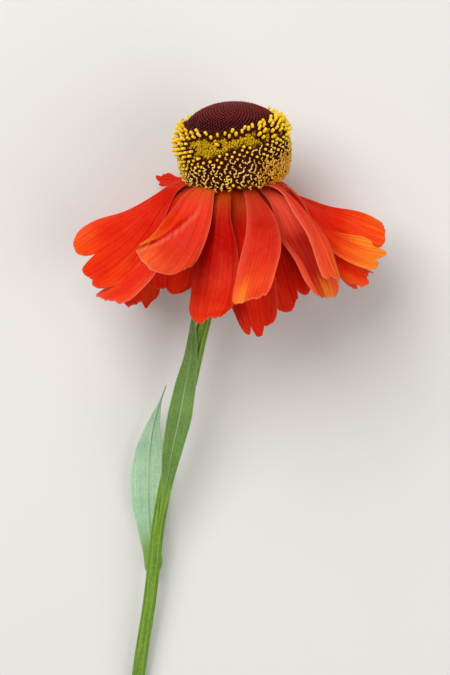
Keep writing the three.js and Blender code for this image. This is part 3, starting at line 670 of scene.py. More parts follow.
def petal_end(ends, w):
    """Where a petal ends at w, as a share of its length. ends reads shoulder, lobe, notch, lobe,
    notch, lobe, shoulder. From a lobe's middle the end goes toward the mean of it and its neighbour
    by x^2, less the notch's depth there by 1 - (1 - x^n)^(1/n); toward a shoulder by that alone."""
    place = (np.clip(w, -1, 1) + 1) * PETAL_LOBES / 2
    own = np.minimum(place.astype(int), PETAL_LOBES - 1)
    x = 2 * (place - own) - 1
    after = own + (x > 0)
    other = own + np.where(x > 0, 1, -1)
    ends = np.asarray(ends)
    lobe = ends[2 * own + 1]
    inner = (other >= 0) & (other < PETAL_LOBES)
    mean = np.where(inner, (lobe + ends[2 * np.clip(other, 0, PETAL_LOBES - 1) + 1]) / 2, lobe)
    drop = 1 - (1 - np.abs(x) ** LOBE_ROUNDNESS) ** (1 / LOBE_ROUNDNESS)
    return lobe + (mean - lobe) * x**2 - (mean - ends[2 * after]) * drop


def petal_outline(form, u, w):
    """Where a grid point lies: t = u (end(w) + two low waves); x = w' half-width, w' being w with
    the notches moved to their own places, and half-width growing from the foot by a sine power."""
    number, widest, foot = form["number"], form["widest"], form["foot"]
    ragged = 0.003 * np.sin(13 * w + number) + 0.002 * np.sin(27 * w + 3 * number)
    t = u * (petal_end(form["ends"], w) + ragged)
    place = np.interp(w, [-1, -1 / 3, 1 / 3, 1], [-1, *form["notches"], 1])
    swell = np.sin(math.pi / 2 * np.clip(t / widest, 0, 1)) ** form["claw"]
    narrowed = 1 - form["taper"] * np.clip((t - widest) / (1 - widest), 0, 1) ** 2
    return t, place * form["size"][1] / 2 * (foot + (1 - foot) * swell) * narrowed


def petal_relief(form, t, w):
    """Height over the middle surface: grooves from the two notches toward the foot, a midrib, low
    waves along the blade, uneven pleats across it, a ruffle that grows toward the margins, and
    lobes curled up or down at their tips."""
    draw = np.random.default_rng(7 * form["number"])
    phase = draw.uniform(0, TAU, 4)
    curl = draw.uniform(-0.3, 0.8, 5)
    grooves = -0.13 * (bell(w, 1 / 3, 0.09) + bell(w, -1 / 3, 0.09))
    waves = 0.12 * np.sin(2.1 * math.pi * t + 2.4 * w + phase[0])
    waves += 0.08 * np.sin(3.4 * math.pi * t - 4.1 * w + phase[1])
    ruffle = 0.22 * np.abs(w) ** 3 * np.sin(5.2 * math.pi * t + phase[2] + np.sign(w) * phase[3])
    pleats = 0.07 * np.sin(7 * math.pi * w + 1.5 * np.sin(4 * t + phase[0]) + phase[1])
    pleats += 0.04 * np.sin(16 * math.pi * w + 2.0 * np.sin(3 * t + phase[2]) + phase[3])
    tips = np.interp(w, [-1, -0.5, 0, 0.5, 1], curl) * rise(t, 0.72, 1)
    return rise(t, 0, 0.35) * (grooves + 0.1 * bell(w, 0, 0.07) + waves + pleats + ruffle + tips)


def petal_columns():
    """Places across a petal, the same to each lobe, crowding toward the notches as a sine does."""
    lobe = np.sin(np.linspace(-1, 1, LOBE_COLUMNS) * math.pi / 2) / PETAL_LOBES
    return np.concatenate([lobe - 2 / 3, lobe[1:], lobe[1:] + 2 / 3])


def petal_skin(form):
    """One petal, thickest along its middle and thin at its margins and its end."""
    skin = Skin("u", "v", "foot", "rim", "ember", "wine", "blush")
    u, w = np.meshgrid(np.linspace(0, 1, PETAL_ROWS) ** 0.9, petal_columns(), indexing="ij")
    t, x = petal_outline(form, u, w)
    half = 0.05 + 0.13 * (1 - np.abs(w) ** 5) * (1 - 0.7 * u**6)
    add_blade(skin, lambda t, x: petal_sheet(form, t, x), t, x, half, petal_relief(form, t, w),
              **petal_colours(form, t, u, w, past_crease(form, t, x)))
    return skin


def petal_colours(form, t, u, w, past):
    """The petal's marks, by its record: orange grows toward the end and the margins, with golden
    streaks at the end; deep red toward the foot, and painted shade along a crease, in the hollow
    beside a lip and on petals that lie in the shade of others; pink toward the margins, partly
    painted light on a lip and on petals that the lamps leave darker, and not past a crease; a pale
    rim of painted highlight at the margins, the end and the crease; and ochre at the foot."""
    draw = np.random.default_rng(3 + 7 * form["number"])
    drift = 0.12 * np.sin(3 * w + 5 * t + draw.uniform(0, TAU)) * draw.uniform(0.5, 1)
    (glow_at, glow), (lip_at, lip) = form["glow"], form["lip"]
    margin, end, low = rise(np.abs(w), 0.55, 1), rise(u, 0.45, 1), rise(t, 0.45, 0)
    creased, blade = rise(t, 0.15, 0.4), rise(t, 0.3, 0.5)
    ember = form["ember"] * (0.15 + 0.85 * end + 0.15 * margin) + drift
    ember += 0.35 * rise(past, 0.1, 0.22) * creased
    ember += glow * bell(w, glow_at, 0.4) * rise(u, 0.6, 1)
    # deep red: partly the petal's own, partly painted shade on petals lying in others' shade
    wine = form["wine"] * (1 - 0.4 * end) + 0.35 * low * (lip == 0) + drift * 0.5
    # painted shade: a dark line just past the crease
    wine += 0.75 * bell(past, 0.1, 0.08) * creased
    # painted shade in the hollow beside a lip
    wine += lip * rise(np.abs(w + 0.1), lip_at - 0.15, lip_at - 0.35) * blade
    # pink: partly the petal's own, partly painted light on petals that the lamps leave darker
    blush = form["blush"] * (0.4 + 0.6 * margin) + 0.1 * margin
    blush *= 1 - 0.85 * rise(past, -0.02, 0.04) * creased
    # painted light: pink on the raised, lit lip and toward a lipped petal's foot
    blush += lip * np.maximum(bell(w, lip_at, 0.17), 1 - blade)
    # painted highlight: a pale rim at the margins and the end
    rim = np.maximum(rise(np.abs(w), 0.97, 0.99), rise(u, 0.985, 0.995))
    # and a painted highlight along the crease ridge
    rim = rim * (0.3 + 0.35 * form["blush"]) + 0.5 * bell(past, -0.05, 0.06) * creased
    return {
        "u": (w + 1) / 2, "v": t, "foot": form["ochre"] * rise(t, 0.26, 0.02),
        "rim": rim * rise(t, 0, 0.3), "ember": np.clip(ember, 0, 1), "wine": np.clip(wine, 0, 1),
        "blush": np.clip(blush, 0, 1),
    }


def petal_finish(colours):
    """Red petal: deeper at the foot, with painted shade along creases, in hollows and on shaded
    petals, orange and yellow at the end, pink partly painted light, fine veins along it, and a thin
    pale rim that is a painted highlight."""
    f = Finish("petal")
    across, along = f.uv()
    streak = f.streaks(across * 42.0, along * 2.2, f.mark("ember"))
    veins = ((across * (PETAL_VEINS * TAU) + streak * 5.0).sine() * 0.5 + 0.5) ** 4.0
    mottle = f.grain(900.0, 3.0, 0.6)
    patch = f.grain(160.0, 2.0)
    ember = (f.mark("ember") + (streak - 0.5) * 0.9 + (patch - 0.5) * 0.6).ramp(0.12, 0.85)
    base = f.mix(ember, colours.petal_red, colours.petal_orange)
    # deep red, with the painted shade that the wine mark carries
    wine = (f.mark("wine") + (streak - 0.5) * 0.5 - (patch - 0.5) * 0.5).ramp(0.15, 0.9)
    base = f.mix(wine, base, colours.petal_wine_and_shade)
    glow = ((f.mark("ember") - 0.5) * 1.8 + (streak - 0.5) * 1.4).ramp(0.2, 1.2)
    base = f.mix(glow * 0.85, base, colours.petal_gold)
    base = f.mix((veins * (patch * 0.36)).held(), base, colours.petal_vein)
    # pink, with the painted light that the blush mark carries
    blush = (f.mark("blush") + (patch - 0.5) * 0.6 + (mottle - 0.5) * 0.4).held()
    base = f.mix(blush * 0.5, base, colours.petal_pink_and_light)
    # painted highlight: the pale rim
    base = f.mix((f.mark("rim") * (0.25 + mottle)).held() * 0.6, base, colours.petal_rim_highlight)
    foot = f.mark("foot") * (0.4 + streak * 1.2)
    base = f.mix(foot.held() * 0.85, base, colours.petal_foot)
    height = veins * -0.25 + streak * 0.65 + mottle * 0.12
    return f.shade(Base_Color=base, Roughness=0.45 + 0.2 * mottle, Normal=f.bump(height, 0.0002),
                   Specular_IOR_Level=0.04, **PETAL_SOFTNESS)


# Disc


def floret_radius(height):
    """The outline of the florets' outer ends: R (1 - x^n)^(1/n) less their sinking, x the distance
    from the widest level, and over the cap a dome, R sqrt(1 - (rise / dome height)^2)."""
    reach = np.where(height > DISC_WIDEST_AT, DISC_TOP - DISC_WIDEST_AT, DISC_BELOW)
    x = np.clip(np.abs(height - DISC_WIDEST_AT) / reach, 0, 1)
    sunk = FLORETS_SUNK + (FLORETS_SUNK_LOW - FLORETS_SUNK) * rise(height, 2.5, -0.5)
    below = DISC_RADIUS * (1 - x**DISC_SQUARENESS) ** (1 / DISC_SQUARENESS) - sunk
    up = np.clip((height - DOME_LEVEL) / DOME_RISE, 0, 1)
    return np.where(height > DOME_FROM, DOME_RADIUS * np.sqrt(1 - up**2), below)


def level_round(levels, angle):
    """One of the tables of levels round the disc, read between its entries."""
    return np.interp(angle, turn_angles(len(levels)), levels, period=TAU)


def on_disc(points):
    """Bloom frame to table frame, moved aside as the disc's florets are."""
    return on_table(points + FLORETS_ASIDE)


def disc_frames(height, angle):
    """Places on the florets' outline and their axes: round the disc, down it, and straight out."""
    low, high = height - 0.02, np.minimum(height + 0.02, DOME_TOP - 1e-4)
    slope = (floret_radius(high) - floret_radius(low)) / (high - low)
    outward, sideways = round_axis(angle)
    out = unit(outward - slope[:, None] * UPRIGHT)
    place = floret_radius(height)[:, None] * outward + height[:, None] * UPRIGHT
    return place, np.stack([sideways, np.cross(out, sideways), out], -2)


def spread_florets(low, high, spacing, turn=0.0):
    """Heights and angles of florets on the golden angle, each with the same share of the surface:
    the share of a honeycomb's cell, 0.866 spacing^2."""
    level = np.linspace(high, low, 800)
    radius = floret_radius(level)
    ring = (radius[1:] + radius[:-1]) / 2 * np.hypot(np.diff(radius), np.diff(level)) * TAU
    area = np.concatenate([[0], np.cumsum(ring)])
    count = int(area[-1] / (spacing**2 * HONEYCOMB_SHARE))
    height = np.interp((np.arange(count) + 0.5) / count * area[-1], area, level)
    return height, (np.arange(count) * GOLDEN_ANGLE + turn) % TAU


def leaned(axes, tilt, turn):
    """Axes leaned by tilt toward the heading turn: out' = cos(tilt) out + sin(tilt) heading."""
    side, along, out = np.moveaxis(axes, -2, 0)
    cross = swung(along, -side, turn)
    lean = swung(out, swung(side, along, turn), tilt)
    return np.stack([np.cross(cross, lean), cross, lean], -2)


def ring_marks(values, sides):
    """One value for each ring of a turned shape, spread over its points and its two end points."""
    values = np.asarray(values, float)
    return np.concatenate([np.repeat(values, sides), values[[0, -1]]])


def add_core(skin, low, high, sunk, **marks):
    """Adds a closed smooth slice of the disc, sunk under its florets, from level low to high.
    Marks are one value, or one for each ring."""
    height = np.linspace(low, high, CORE_RINGS)
    profile = np.stack([np.maximum(floret_radius(height) - sunk, 0.02), height], -1)
    marks = {name: ring_marks(np.broadcast_to(value, CORE_RINGS), CORE_SIDES)
             for name, value in marks.items()}
    skin.add(on_disc(stood(profile, CORE_SIDES)), tube_faces(CORE_RINGS, CORE_SIDES), **marks)


def add_florets(skin, shape, sides, height, angle, size, tilt, turn, sunk=0.0, **marks):
    """Adds copies of a turned shape standing out of the disc, sunk by so much at their feet: each
    is at place + size (x across + y along + z out). Marks are one value, one for each of the
    shape's points, or a column of one for each copy."""
    count = len(height)
    if not count:
        return
    places, axes = disc_frames(height, angle)
    places = places - axes[:, 2] * sunk
    scaled = shape * np.reshape(size, (count, 1, -1))
    points = places[:, None] + np.einsum("nvk,nkd->nvd", scaled, leaned(axes, tilt, turn))
    steps = (np.arange(count) * len(shape))[:, None, None]
    faces = [(group + steps).reshape(-1, group.shape[1])
             for group in tube_faces((len(shape) - 2) // sides, sides)]
    spread = {name: np.broadcast_to(value, (count, len(shape))) for name, value in marks.items()}
    skin.add(on_disc(points), faces, **spread)


def bud_cap_skin(sizes):
    """The cap of closed buds: a sunk dome with a small pointed bud at every floret's place, the
    buds small and closed up toward the middle of the dome."""
    skin = Skin("tip", "shade", "top")
    add_core(skin, DOME_FROM - 0.3, DOME_TOP, 0.22, top=0.4, shade=0.2)
    height, angle = spread_florets(min(CAP_EDGE), DOME_TOP - 0.002, sizes.bud_spacing / MM)
    kept = height > level_round(CAP_EDGE, angle)
    height, angle = height[kept], angle[kept]
    draw = np.random.default_rng(3)
    sides, count = 7, len(height)
    top = rise(height, BUD_CAP_FROM, DOME_TOP)
    size = (0.92 + 0.16 * draw.random(count)) * (1.05 - 0.2 * top)
    add_florets(skin, turned(BUD, sides), sides, height, angle, size,
                tilt=0.12 * draw.random(count), turn=TAU * draw.random(count), sunk=0.2,
                tip=ring_marks([0, 0, 0.2, 0.75, 1.0], sides), shade=draw.random((count, 1)),
                top=top[:, None])
    return skin


def bud_finish(colours):
    """Dull dark maroon buds whose tips redden toward the top of the dome, with pale rose
    patches on the tips as painted highlight.
    """
    f = Finish("buds")
    grain = f.grain(2500.0, 2.0)
    patch = f.grain(180.0, 2.0)
    tip = f.mix(f.mark("top").ramp(0.1, 0.8), colours.bud_dusk, colours.bud_red)
    # painted highlight: pale rose patches on the bud tips
    tip = f.mix(((f.mark("shade") - 0.5) * 0.5 + (patch - 0.4) * 1.2).held(), tip, colours.bud_rose)
    base = f.mix((f.mark("tip") + (grain - 0.5) * 0.4).ramp(0.1, 0.95), colours.bud_dark, tip)
    return f.shade(Base_Color=base, Roughness=0.5 + 0.2 * grain, Specular_IOR_Level=0.12,
                   Sheen_Weight=0.03, Sheen_Roughness=0.4, Sheen_Tint=(1.0, 0.5, 0.6, 1.0))


def stick_places():
    """Heights and angles of the anther sticks: a full row at the cap's edge, half as many under it,
    few on the belt, and more again on the flower's two sides."""
    height, angle = spread_florets(*STICK_LEVELS, STICK_SPACING, 0.4)
    luck = np.random.default_rng(12).random(len(height))
    under = level_round(CAP_EDGE, angle) - height
    chance = np.interp(under, [0, 0.6, 0.8, 1.7, 2.1], [1, 1, 0.6, 0.5, 0.12])
    sides = rise(np.abs(np.cos(angle)), 0.62, 0.82) * (height > 4.2)
    kept = (luck < np.maximum(chance, 0.85 * sides)) & (under > 0)
    kept &= height > level_round(BELT_EDGE, angle) - 0.3
    return height[kept], angle[kept]


def crowded(height, angle, others, reach):
    """1 where a floret stands within reach of one of the others, falling to 0 at twice that."""
    here, there = disc_frames(height, angle)[0], disc_frames(*others)[0]
    apart = np.sqrt(((here[:, None] - there[None]) ** 2).sum(-1)).min(1)
    return rise(apart, 2 * reach, reach)


def add_sticks(skin, height, angle, seed, long=1.0, wide=1.0):
    """Anther sticks: a dark tube out of its floret, with a rounded yellow end, leaning upward."""
    draw = np.random.default_rng(seed)
    sides, count = 8, len(height)
    thick = wide * (0.85 + 0.25 * draw.random(count))
    size = np.stack([thick, thick, long * (0.8 + 0.35 * draw.random(count))], -1)
    high = rise(height, 6, 9)
    add_florets(skin, turned(STICK, sides), sides, height, angle, size,
                tilt=0.3 * high + 0.25 * draw.random(count),
                turn=-TAU / 4 + 2.2 * (draw.random(count) - 0.5) * (1.6 - high), sunk=0.15,
                pollen=ring_marks([0, 0, 0, 0.7, 1, 1, 1], sides),
                shade=0.2 + 0.6 * draw.random((count, 1)))


def add_gold_buds(skin, height, angle, seed, dark):
    """Small closed golden florets, dark round the foot of a stick."""
    draw = np.random.default_rng(seed)
    sides, count = 6, len(height)
    gold = ring_marks([0.1, 0.55, 0.9, 1.0], sides) * (1 - 0.95 * dark[:, None])
    height = height + 0.2 * (draw.random(count) - 0.5)
    angle = angle + 0.025 * (draw.random(count) - 0.5)
    size = (0.85 + 0.35 * draw.random(count)) * (1 - 0.12 * dark)
    sunk = 0.1 * draw.random(count)[:, None]
    add_florets(skin, turned(GOLD_BUD, sides), sides, height, angle, size,
                tilt=0.5 * draw.random(count), turn=TAU * draw.random(count), sunk=sunk,
                gold=gold, shade=draw.random((count, 1)))


def add_corollas(skin, height, angle, seed, gold):
    """Open florets: a tube that flares into a dark five-lobed rim round a dark throat."""
    draw = np.random.default_rng(seed)
    sides, count = 10, len(height)
    size = np.stack([0.85 + 0.3 * draw.random(count)] * 2 + [0.7 + 0.6 * draw.random(count)], -1)
    gold = np.clip(ring_marks([0.7, 0.5, 0.12, 0.0, 0.0], sides) + gold[:, None], 0, 1)
    add_florets(skin, turned(COROLLA, sides, 5, 0.16), sides, height, angle, size,
                tilt=0.25 * draw.random(count), turn=TAU * draw.random(count), sunk=0.12,
                gold=gold, shade=draw.random((count, 1)))


def style_arm(side, spread, wave, rings=9):
    """Half of a forked style: a stalk, and a wavy arm that leans away to one side and whose end
    curls back: along a line spread from the upright, plus a sine across it."""
    s = np.linspace(0, 1, rings)
    arm = np.clip((s - STYLE_STALK) / (1 - STYLE_STALK), 0, 1)
    across = STYLE_WAVE * (np.sin(arm * math.pi * 1.2 + wave) - math.sin(wave))
    path = np.stack([side * (STYLE_ARM * arm * math.sin(spread) + across * math.cos(spread)),
                     STYLE_ARM * arm * math.cos(spread) - across * math.sin(spread),
                     -0.25 + 0.42 * np.clip(s / STYLE_STALK, 0, 1) + 0.1 * np.sin(arm * 2.6)], -1)
    radius = 0.075 + 0.035 * rise(s, 0.3, 0.8)
    radius[-1] = 0.07
    return path, radius, s


def add_styles(skin, height, angle, seed, amber):
    """Forked styles over their florets in three forms, the arms of one style leaned alike. Two of
    three stand with their fork upright on the flower."""
    draw = np.random.default_rng(seed)
    sides, count = 5, len(height)
    form = draw.integers(0, len(STYLE_FORMS), count)
    size = 0.8 + 0.7 * draw.random(count)
    tilt, turn = 0.35 * draw.random(count), TAU * draw.random(count)
    upright = draw.random(count) < 0.65
    turn = np.where(upright, TAU / 4 + 0.9 * (draw.random(count) - 0.5), turn)
    warm = np.clip(amber + 0.5 * (draw.random(count) - 0.5), 0, 1)[:, None]
    for k, (spread, *waves) in enumerate(STYLE_FORMS):
        own = form == k
        for side, wave in zip((-1, 1), waves):
            path, radius, s = style_arm(side, spread, wave)
            add_florets(skin, tube_along(path, radius, sides), sides, height[own], angle[own],
                        size[own], tilt[own], turn[own],
                        style=ring_marks(rise(s, 0, STYLE_STALK), sides), shade=warm[own])


def belt_skin(sizes):
    """The golden belt: closed florets all over, anther sticks among them, and open florets where it
    is lowest on the flower's right."""
    skin = Skin(*FLORET_MARKS)
    rings = np.linspace(BELT_FROM, BELT_TO, CORE_RINGS)
    add_core(skin, BELT_FROM, BELT_TO, 0.3, gold=0.6 * rise(rings, 8.3, 7.5), shade=0.6)
    sticks = stick_places()
    height, angle = spread_florets(BELT_FROM, BELT_TO, sizes.gold_spacing / MM, 1.0)
    over, under = height - level_round(BELT_EDGE, angle), level_round(CAP_EDGE, angle) - height
    kept = (under > 0) & (over > 0)
    height, angle, over, under = height[kept], angle[kept], over[kept], under[kept]
    luck = np.random.default_rng(24).random(len(height)) - 0.5
    edge = rise(1.2 - under / 0.8 + 0.5 * luck, 0, 1)
    low = rise(1 - over / 0.6 + 0.6 * luck, 0, 1)
    dark = np.maximum(crowded(height, angle, sticks, 0.42), np.maximum(edge, 0.8 * low))
    add_gold_buds(skin, height, angle, 22, dark)
    here = sticks[0] > BELT_FROM
    add_sticks(skin, sticks[0][here], sticks[1][here], 21)
    add_open(skin, BELT_FROM, BUD_CAP_FROM, sizes, 23)
    return skin


def add_open(skin, low, high, sizes, seed):
    """Open florets below the belt's edge, between two levels: corollas all over, then on them a few
    round pollen ends in the upper part and forked styles elsewhere, amber toward the flower's lower
    right and the fringe, and last more amber styles packed close on the lower right."""

    def places(spacing, turn, clear):
        height, angle = spread_florets(*OPEN_LEVELS, spacing / MM, turn)
        under = level_round(BELT_EDGE, angle) - height
        kept = (height > low) & (height <= high) & (under > clear)
        return height[kept], angle[kept], under[kept]

    height, angle, _ = places(sizes.floret_spacing, 2.0, 0.0)
    left = rise(-np.cos(angle), 0.86, 0.96) * rise(height, 4.5, 3.0)
    gold = np.clip(0.3 * rise(height, 0.4, -0.5) + left, 0, 1)
    add_corollas(skin, height, angle, seed, gold)
    height, angle, under = places(sizes.style_spacing, 0.7, 0.1)
    luck = np.random.default_rng(seed // 10).random((3, len(height)))
    right = rise(np.cos(angle - 0.35), 0.5, 0.85) * rise(height, 5.2, 2.7)
    chance = np.interp(under, [0, 1.2, 2.6, 3.4], [0.85, 0.65, 0.12, 0.02])
    dots = (luck[0] < chance) & (luck[2] > right)
    add_sticks(skin, height[dots], angle[dots], seed + 2, 0.5, 0.85)
    amber = np.maximum(right, rise(height, 0.2, -0.6) * 0.6)
    add_styles(skin, height[~dots], angle[~dots], seed + 1, amber[~dots])
    height, angle = spread_florets(*OPEN_LEVELS, AMBER_SPACING, 1.7)
    right = rise(np.cos(angle - 0.25), 0.6, 0.9) * rise(height, 4.6, 2.6)
    kept = np.random.default_rng(seed).random(len(height)) < right
    kept &= (height > low) & (height <= high)
    add_styles(skin, height[kept], angle[kept], seed + 3, np.full(kept.sum(), 0.7))


def open_floret_skin(sizes):
    """The lower florets, all open, most with a forked style, over the neck that meets the cup."""
    skin = Skin(*FLORET_MARKS)
    add_core(skin, DISC_FROM, BELT_FROM, 0.3, gold=0.0, shade=0.3)
    skin.add(on_table(stood(NECK, CUP_SIDES)), tube_faces(len(NECK), CUP_SIDES), gold=0.35,
             shade=1.0)
    height, angle = stick_places()
    low = height <= BELT_FROM
    add_sticks(skin, height[low], angle[low], 35)
    add_open(skin, -1.0, BELT_FROM, sizes, 33)
    return skin


def floret_finish(colours):
    """Florets: brown, golden tubes, yellow pollen ends and pale styles, by their marks."""
    f = Finish("florets")
    grain = f.grain(3500.0, 2.0)
    shade = f.mark("shade")
    gold = f.mix((shade * 0.7 + grain * 0.5).held(), colours.floret_olive, colours.floret_gold)
    base = f.mix((f.mark("gold") + (grain - 0.5) * 0.5).ramp(0.2, 0.75), colours.floret_brown, gold)
    base = f.mix(f.mark("style"), base, f.mix(shade, colours.style_cream, colours.style_amber))
    yellow = f.mix((grain * 0.7 + shade * 0.5).ramp(0.4, 1.0), colours.pollen_yellow,
                   colours.pollen_light)
    base = f.mix(f.mark("pollen").ramp(0.3, 0.7), base, yellow)
    return f.shade(Base_Color=base, Roughness=0.5 + 0.25 * grain, Normal=f.bump(grain, 0.00008),
                   Specular_IOR_Level=0.14, **FLORET_SOFTNESS)


# Cup, stem and leaves


def leaf_grid(rows, columns):
    """Places along and across a green blade, and the marks that its finish reads."""
    u, w = np.meshgrid(np.linspace(0, 1, rows), np.linspace(-1, 1, columns), indexing="ij")
    return u, w, {"u": (w + 1) / 2, "v": u, "across": w, "along": u}


def add_bract(skin, angle, out_by, length, slope):
    """Adds a narrow bract, which leaves the cup at its first slope and has turned to its own by
    the middle of its length."""
    outward, round_ = round_axis(angle)
    foot = outward * out_by + BRACT_FOOT_LEVEL * UPRIGHT

    def sheet(t, x):
        bend = np.radians(BRACT_FIRST_SLOPE + (slope - BRACT_FIRST_SLOPE) * rise(t, 0, 0.5))
        run = (length * t)[..., None] * swung(outward, -UPRIGHT, bend)
        return on_table(foot + run + x[..., None] * round_)

    u, w, marks = leaf_grid(*BRACT_GRID)
    half = 0.06 + 0.12 * (1 - w**2) * (1 - u)
    add_blade(skin, sheet, u, w * BRACT_HALF_WIDTH * (1 - 0.85 * u**2), half, **marks)


def cup_skin():
    """The green cup under the disc with narrow bracts folded back along the stem."""
    skin = Skin("u", "v", "across", "along")
    skin.add(on_table(stood(CUP, CUP_SIDES)), tube_faces(len(CUP), CUP_SIDES), along=0.1)
    draw = np.random.default_rng(5)
    for k in range(BRACTS):
        angle = (k + 0.3 * draw.random()) / BRACTS * TAU
        length = BRACT_LENGTH * (0.8 + 0.35 * draw.random())
        slope = 64 + 18 * draw.random()
        add_bract(skin, angle, BRACT_RING + 0.35 * (k % 2), length, slope)
    return skin


def green_finish(name, colours, light, dark, vein_depth):
    """Soft green, finely mottled, with a paler midrib and rim; the foot takes the stem's green."""
    f = Finish(name)
    across, along = f.uv()
    streak = f.streaks(across * 16.0, along * 3.0)
    mottle = f.grain(2200.0, 3.0, 0.7)
    patch = f.grain(260.0, 3.0)
    side, up = abs(f.mark("across")), f.mark("along")
    midrib = 1.0 - side.ramp(0.0, 0.15)
    base = f.mix((streak * 0.4 + mottle * 0.35 + patch * 0.25).ramp(0.3, 0.7), dark, light)
    base = f.mix(midrib * (0.5 - 0.2 * up), base, colours.midrib)
    base = f.mix(side.ramp(0.93, 1.0) * 0.3, base, colours.midrib)
    base = f.mix((1.0 - up.ramp(0.1, 0.3)) * 0.8, base, colours.stem_green)
    height = f.bump(streak * 0.3 + mottle * 0.6 + midrib * 0.8, vein_depth)
    return f.shade(Base_Color=base, Roughness=0.5 + 0.15 * mottle, Normal=height,
                   Specular_IOR_Level=0.25, Subsurface_Weight=0.1, **GREEN_SOFTNESS)


def stem_skin():
    """The ribbed stem: radius + ridge height cos(6 angle) + finer lines, flared at the cup."""
    skin = Skin("u", "v", "rib")
    path = curve_through(STEM_ROUTE, STEM_RINGS)
    t = np.linspace(0, 1, STEM_RINGS)[:, None]
    along = unit(np.gradient(path, axis=0))
    across = unit(np.cross([0, 0, 1.0], along))
    above = np.cross(along, across)
    angle = turn_angles(STEM_SIDES)
    rib = np.cos(STEM_RIDGES * angle)
    radius = STEM_RADIUS + STEM_FLARE * rise(t, STEM_FLARE_TO, 0) + STEM_RIDGE_HEIGHT * rib
    radius = radius + STEM_LINE_HEIGHT * np.cos(STEM_LINES * angle + 0.5)
    rings = path[:, None] + radius[..., None] * swung(-across[:, None], above[:, None], angle)
    rings[..., 2] = np.maximum(rings[..., 2], TABLE_GAP)
    points = np.concatenate([rings.reshape(-1, 3), rings[[0, -1]].mean(1)])
    wrap = zip(("u", "v", "rib"), np.broadcast_arrays(angle / TAU, t, rib))
    marks = {name: np.concatenate([values.ravel(), [0, 0]]) for name, values in wrap}
    skin.add(points, tube_faces(STEM_RINGS, STEM_SIDES), **marks)
    return skin


def stem_finish(colours):
    """Green stem, lighter along its ribs, with fine lines along it."""
    f = Finish("stem")
    around, along = f.uv()
    streak = f.streaks(around * 26.0, along * 14.0)
    mottle = f.grain(1800.0, 3.0, 0.6)
    tone = (streak * 0.6 + mottle * 0.4).ramp(0.3, 0.7)
    ridge = (f.mark("rib") * 0.8 + (streak - 0.5) * 1.2).ramp(0.35, 1.2)
    base = f.mix(tone, colours.stem_dark, colours.stem_green)
    base = f.mix(ridge * 0.55, base, colours.stem_light)
    height = f.bump(streak * 0.7 + mottle * 0.3, 0.00012)
    return f.shade(Base_Color=base, Roughness=0.45 + 0.15 * mottle, Normal=height,
                   Specular_IOR_Level=0.3, Subsurface_Weight=0.08, **GREEN_SOFTNESS)


def leaf_skin(form):
    """A leaf on its route: half-width swells from a rounded foot and closes toward the tip, with an
    ear at the foot where it clasps the stem; the sides rise from the midrib by
    fold (hypot(x, rib) - rib), less toward the tip."""
    skin = Skin("u", "v", "across", "along")
    path = curve_through(form["route"], LEAF_STEPS)
    tangent = unit(np.gradient(path, axis=0))
    steps = np.linspace(0, 1, LEAF_STEPS)

    def sheet(t, x):
        middle, along = sample(path, steps, t), sample(tangent, steps, t)
        across = unit(np.cross(along, [0, 0, 1.0]))
        trough = form["fold"] * (np.hypot(x, LEAF_MIDRIB_WIDTH) - LEAF_MIDRIB_WIDTH)
        trough = trough * rise(t, 0, 0.3) * (1 - 0.7 * rise(t, 0.6, 1))
        ripple = 0.12 * np.sin(9 * t + 1.3 * np.sign(x)) * (2 * x / form["width"]) ** 2
        up = (trough + ripple)[..., None] * np.cross(across, along)
        return middle + x[..., None] * across + up

    u, w, marks = leaf_grid(*LEAF_GRID)
    widest = form["widest"]
    swell = form["foot"] + (1 - form["foot"]) * rise(u, 0, widest)
    swell = swell * (1 - (1 - form["tip"]) * rise(u, widest, 1))
    swell = swell * np.sqrt(1 - (1 - np.clip(u / 0.04, 0.1, 1)) ** 2)
    least = LEAF_TIP_HALF_WIDTH * (1 - 0.7 * u**8)
    edge = 1 + 0.015 * np.sin(40 * u) * np.abs(w)
    ear = form["ear"] * bell(u, 0.07, 0.06) * (w > 0)
    x = w * (np.maximum(form["width"] / 2 * swell, least) * edge + ear)
    half = 0.08 + 0.2 * bell(w, 0, 0.12) * (1 - 0.8 * u) + 0.06 * (1 - w**4)
    add_blade(skin, sheet, u, x, half, **marks)
    return skin


# Settings, operators and panel


def colour(name, code):
    """A colour setting with its default."""
    return bpy.props.FloatVectorProperty(
        name=name, description=f"Colour: {name.lower()}", subtype="COLOR", size=4, min=0, max=1,
        default=paint(code))


def spacing(name, things, default, least):
    """A distance setting, given in millimetres."""
    return bpy.props.FloatProperty(name=name, description=f"Distance between {things}",
                                   default=default * MM, min=least * MM, unit="LENGTH")


class FlowerSizes(bpy.types.PropertyGroup):
    """Sizes of the fine pieces."""

    bud_spacing: spacing("Bud spacing", "closed buds on the cap", 0.55, 0.3)
    gold_spacing: spacing("Gold spacing", "the closed golden florets of the belt", 0.36, 0.3)
    floret_spacing: spacing("Floret spacing", "the open florets", 0.66, 0.5)
    style_spacing: spacing("Style spacing", "the forked styles", 0.94, 0.6)


